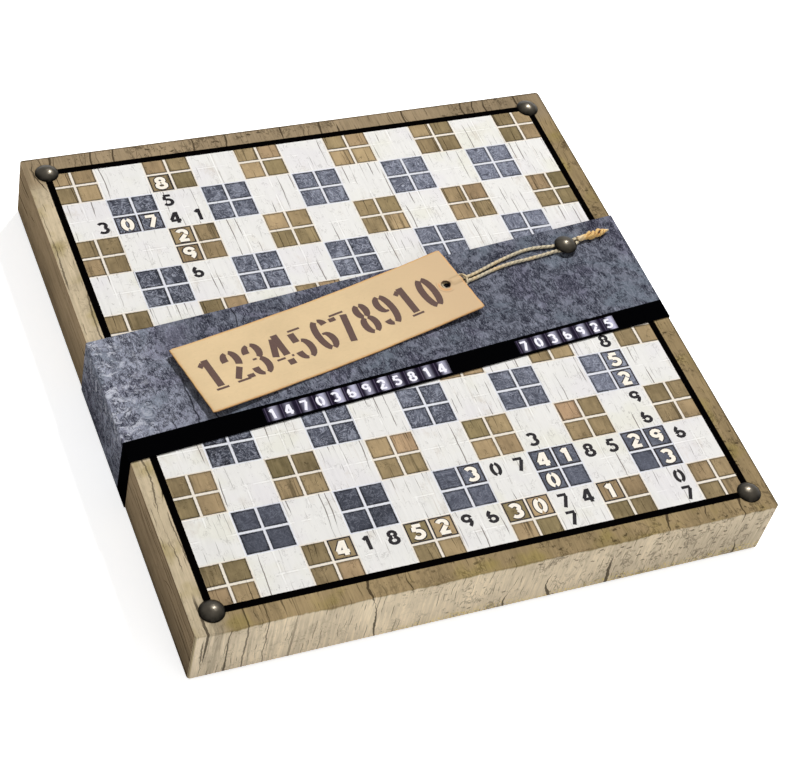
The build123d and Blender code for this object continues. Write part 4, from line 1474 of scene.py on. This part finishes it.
class CASE_OT_pouch(bpy.types.Operator):
    """Make the cloth pouch, gathered at its neck by a string"""

    bl_idname = "case.pouch"
    bl_label = "Pouch"

    def execute(self, context):
        """A flattened tube: at the share s of its length and the angle t it is w(s) cos t wide and
        h(s) sin t high, squared a little, with pleats near the neck and slow ripples."""
        look = context.scene.tile_case.inside
        low, high = box_of("tile_pouch")
        middle, half = (low + high) / 2, (high - low) / 2
        rows, steps, neck_at = 150, 120, 0.8
        s = np.linspace(0, 1, rows)[:, None]
        t = angles(steps)[None, :]
        neck = np.exp(-(((s - neck_at) / 0.045) ** 2))
        closing = np.clip(1 - ((0.06 - s) / 0.06) ** 2, 0, 1) ** 0.5 * (s < 0.06) + (s >= 0.06)
        wide = half.y * (0.97 - 0.42 * neck) * (0.9 + 0.1 * closing)
        thick = half.z * (0.2 + 0.74 * np.sin(np.pi * np.clip(s / 0.78, 0, 1)) ** 0.6
                          + 0.35 * (s > 0.7) * np.clip((s - 0.7) / 0.1, 0, 1)) * closing
        pleats = np.cos(11 * t + 1.3 * np.sin(3 * t)) * np.exp(-(((s - neck_at) / 0.12) ** 2))
        ripples = np.sin(9 * s + 2.0 * np.cos(2 * t)) * np.sin(3 * t + 4 * s)
        cos_t, sin_t = np.cos(t), np.sin(t)
        y = wide * np.sign(cos_t) * np.abs(cos_t) ** 0.7 * (1 + 0.03 * pleats)
        z = thick * np.sign(sin_t) * np.abs(sin_t) ** 0.9 * (1 + 0.3 * pleats + 0.12 * ripples)
        z = np.clip(z, -half.z + 0.05, half.z + 0.3)
        x = -half.x + 2 * half.x * s
        points = stacked(middle.x + x, middle.y + y, middle.z + z)
        patch = closed_tube(points, points[0].mean(0), points[-1].mean(0))
        pouch = make_piece("cotton_pouch", [patch], pouch_cotton(look), "base",
                           close=False)
        map_tube(pouch, "cloth", steps, np.arange(rows + 2) / rows * 2 * half.x, 4 * half.y, False)
        ring = points[int(neck_at * rows)] + np.array([0.0, 0.0, 0.25])
        string = tube(np.vstack([ring, ring[:1]]), 0.55, 10, 2, 3.0, 0.2, over=(1.0, 0.0, 0.0))
        make_piece("pouch_string", [string], ink("string_cotton", tone(222, 216, 200), 0.9),
                   "base")
        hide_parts("tile_pouch")
        return {"FINISHED"}


def stand(thing, right, up, back, place):
    """Puts a camera or a lamp at a place, looking against the direction back."""
    matrix = np.eye(4)
    matrix[:3, :3] = np.array([right, up, back]).T
    matrix[:3, 3] = place
    thing.matrix_world = Matrix(matrix)


class CASE_OT_stage(bpy.types.Operator):
    """Set the camera, the floor and the light"""

    bl_idname = "case.stage"
    bl_label = "Stage"

    def execute(self, context):
        look = context.scene.tile_case.stage
        scene = context.scene
        a, e, roll = look.azimuth, look.elevation, look.roll
        back = np.array([math.sin(a) * math.cos(e), -math.cos(a) * math.cos(e), math.sin(e)])
        right = unit(np.cross([0.0, 0.0, 1.0], back))
        up = np.cross(back, right)
        looked_at = np.array([-0.0075, -0.0322, 0.030])
        camera = add_object("camera", bpy.data.cameras.new("camera"))
        camera.data.lens = look.lens
        camera.data.clip_start = 0.01
        stand(camera, math.cos(roll) * right + math.sin(roll) * up,
              math.cos(roll) * up - math.sin(roll) * right, back, looked_at + back * look.distance)
        scene.camera = camera
        scene.view_settings.view_transform = "Standard"
        self.floor(look)
        self.light(scene)
        return {"FINISHED"}

    def floor(self, look):
        """A wide pale plane. What is seen directly is lifted to white, and the shadow of the case
        stays on it. Far from the case it is white throughout."""
        reach, sunk = 6000.0, 0.05
        x, y = np.meshgrid([-reach, reach], [-reach, reach], indexing="ij")
        mesh = make_mesh("floor", *lattice(stacked(x, y, -sunk)))
        add_object("floor", mesh)
        f = Finish("pale_floor", 0.9)
        seen = f.seen()
        x, y, _ = f.place()
        far = (x * x + y * y).root().ramp(700.0, 1800.0)
        f.put(f.shader.inputs["Emission Color"], (1.0, 1.0, 1.0))
        f.put(f.shader.inputs["Emission Strength"], seen * (0.7 + far * 0.3))
        mesh.materials.append(f.finish(look.floor))

    def light(self, scene):
        """Even light from all round, a little stronger from above, a lamp above and behind the
        right side, a wide soft one in front and a weak one on the left. What is seen of the world
        directly is white."""
        scene.world = bpy.data.worlds.new("studio")
        g = Graph(scene.world, "ShaderNodeOutputWorld")
        white = (1.0, 1.0, 1.0)
        low, high = 0.14, 0.24
        _, _, height = g.parts(g.value("ShaderNodeTexCoord", output="Generated"))
        strength = g.value("ShaderNodeMapRange", {0: height, 1: 0.0, 2: 1.0, 3: low, 4: high})
        soft = g.value("ShaderNodeBackground", {0: white, 1: strength})
        bright = g.value("ShaderNodeBackground", {0: white, 1: 1.0})
        mixed = g.value("ShaderNodeMixShader", {0: g.seen(), 1: soft, 2: bright})
        g.put(g.output.inputs[0], mixed)
        for name, place, size, power in (
            ("key", (0.93, 1.15, 2.02), 0.16, 63.0),
            ("front", (0.25, -1.5, 0.35), 1.2, 11.8),
            ("side", (-1.4, -0.3, 0.45), 0.8, 2.8),
        ):
            lamp = bpy.data.lights.new(name, "AREA")
            lamp.energy = power
            lamp.size = size
            away = unit(np.array(place))
            side = unit(np.cross([0.0, 0.0, 1.0], away))
            stand(add_object(name, lamp), side, np.cross(away, side), away, place)


OPERATORS = (
    CASE_OT_stage, CASE_OT_lid, CASE_OT_studs, CASE_OT_field_numerals, CASE_OT_band,
    CASE_OT_brad, CASE_OT_tag, CASE_OT_twine, CASE_OT_base, CASE_OT_contents, CASE_OT_tiles,
    CASE_OT_pouch,
)


class CASE_PT_panel(bpy.types.Panel):
    """The steps that dress the case"""

    bl_idname = "CASE_PT_panel"
    bl_label = "Word Tile Case"
    bl_space_type = "VIEW_3D"
    bl_region_type = "UI"
    bl_category = "Tile Case"

    def draw(self, context):
        for operator in OPERATORS:
            self.layout.operator(operator.bl_idname)


LOOKS = (
    LidPrintLook, BandLook, TagLook, TwineLook, MetalLook, InsideLook, StageLook, CaseSettings,
)


def register():
    """Registers the settings, the operators and the panel."""
    for kind in (*LOOKS, *OPERATORS, CASE_PT_panel):
        bpy.utils.register_class(kind)
    bpy.types.Scene.tile_case = PointerProperty(type=CaseSettings)


def unregister():
    """Takes them away again."""
    del bpy.types.Scene.tile_case
    for kind in reversed((*LOOKS, *OPERATORS, CASE_PT_panel)):
        bpy.utils.unregister_class(kind)


def main():
    """Runs every step in order."""
    register()
    for operator in OPERATORS:
        getattr(bpy.ops.case, operator.bl_idname.split(".")[1])()


if __name__ == "__main__":
    main()
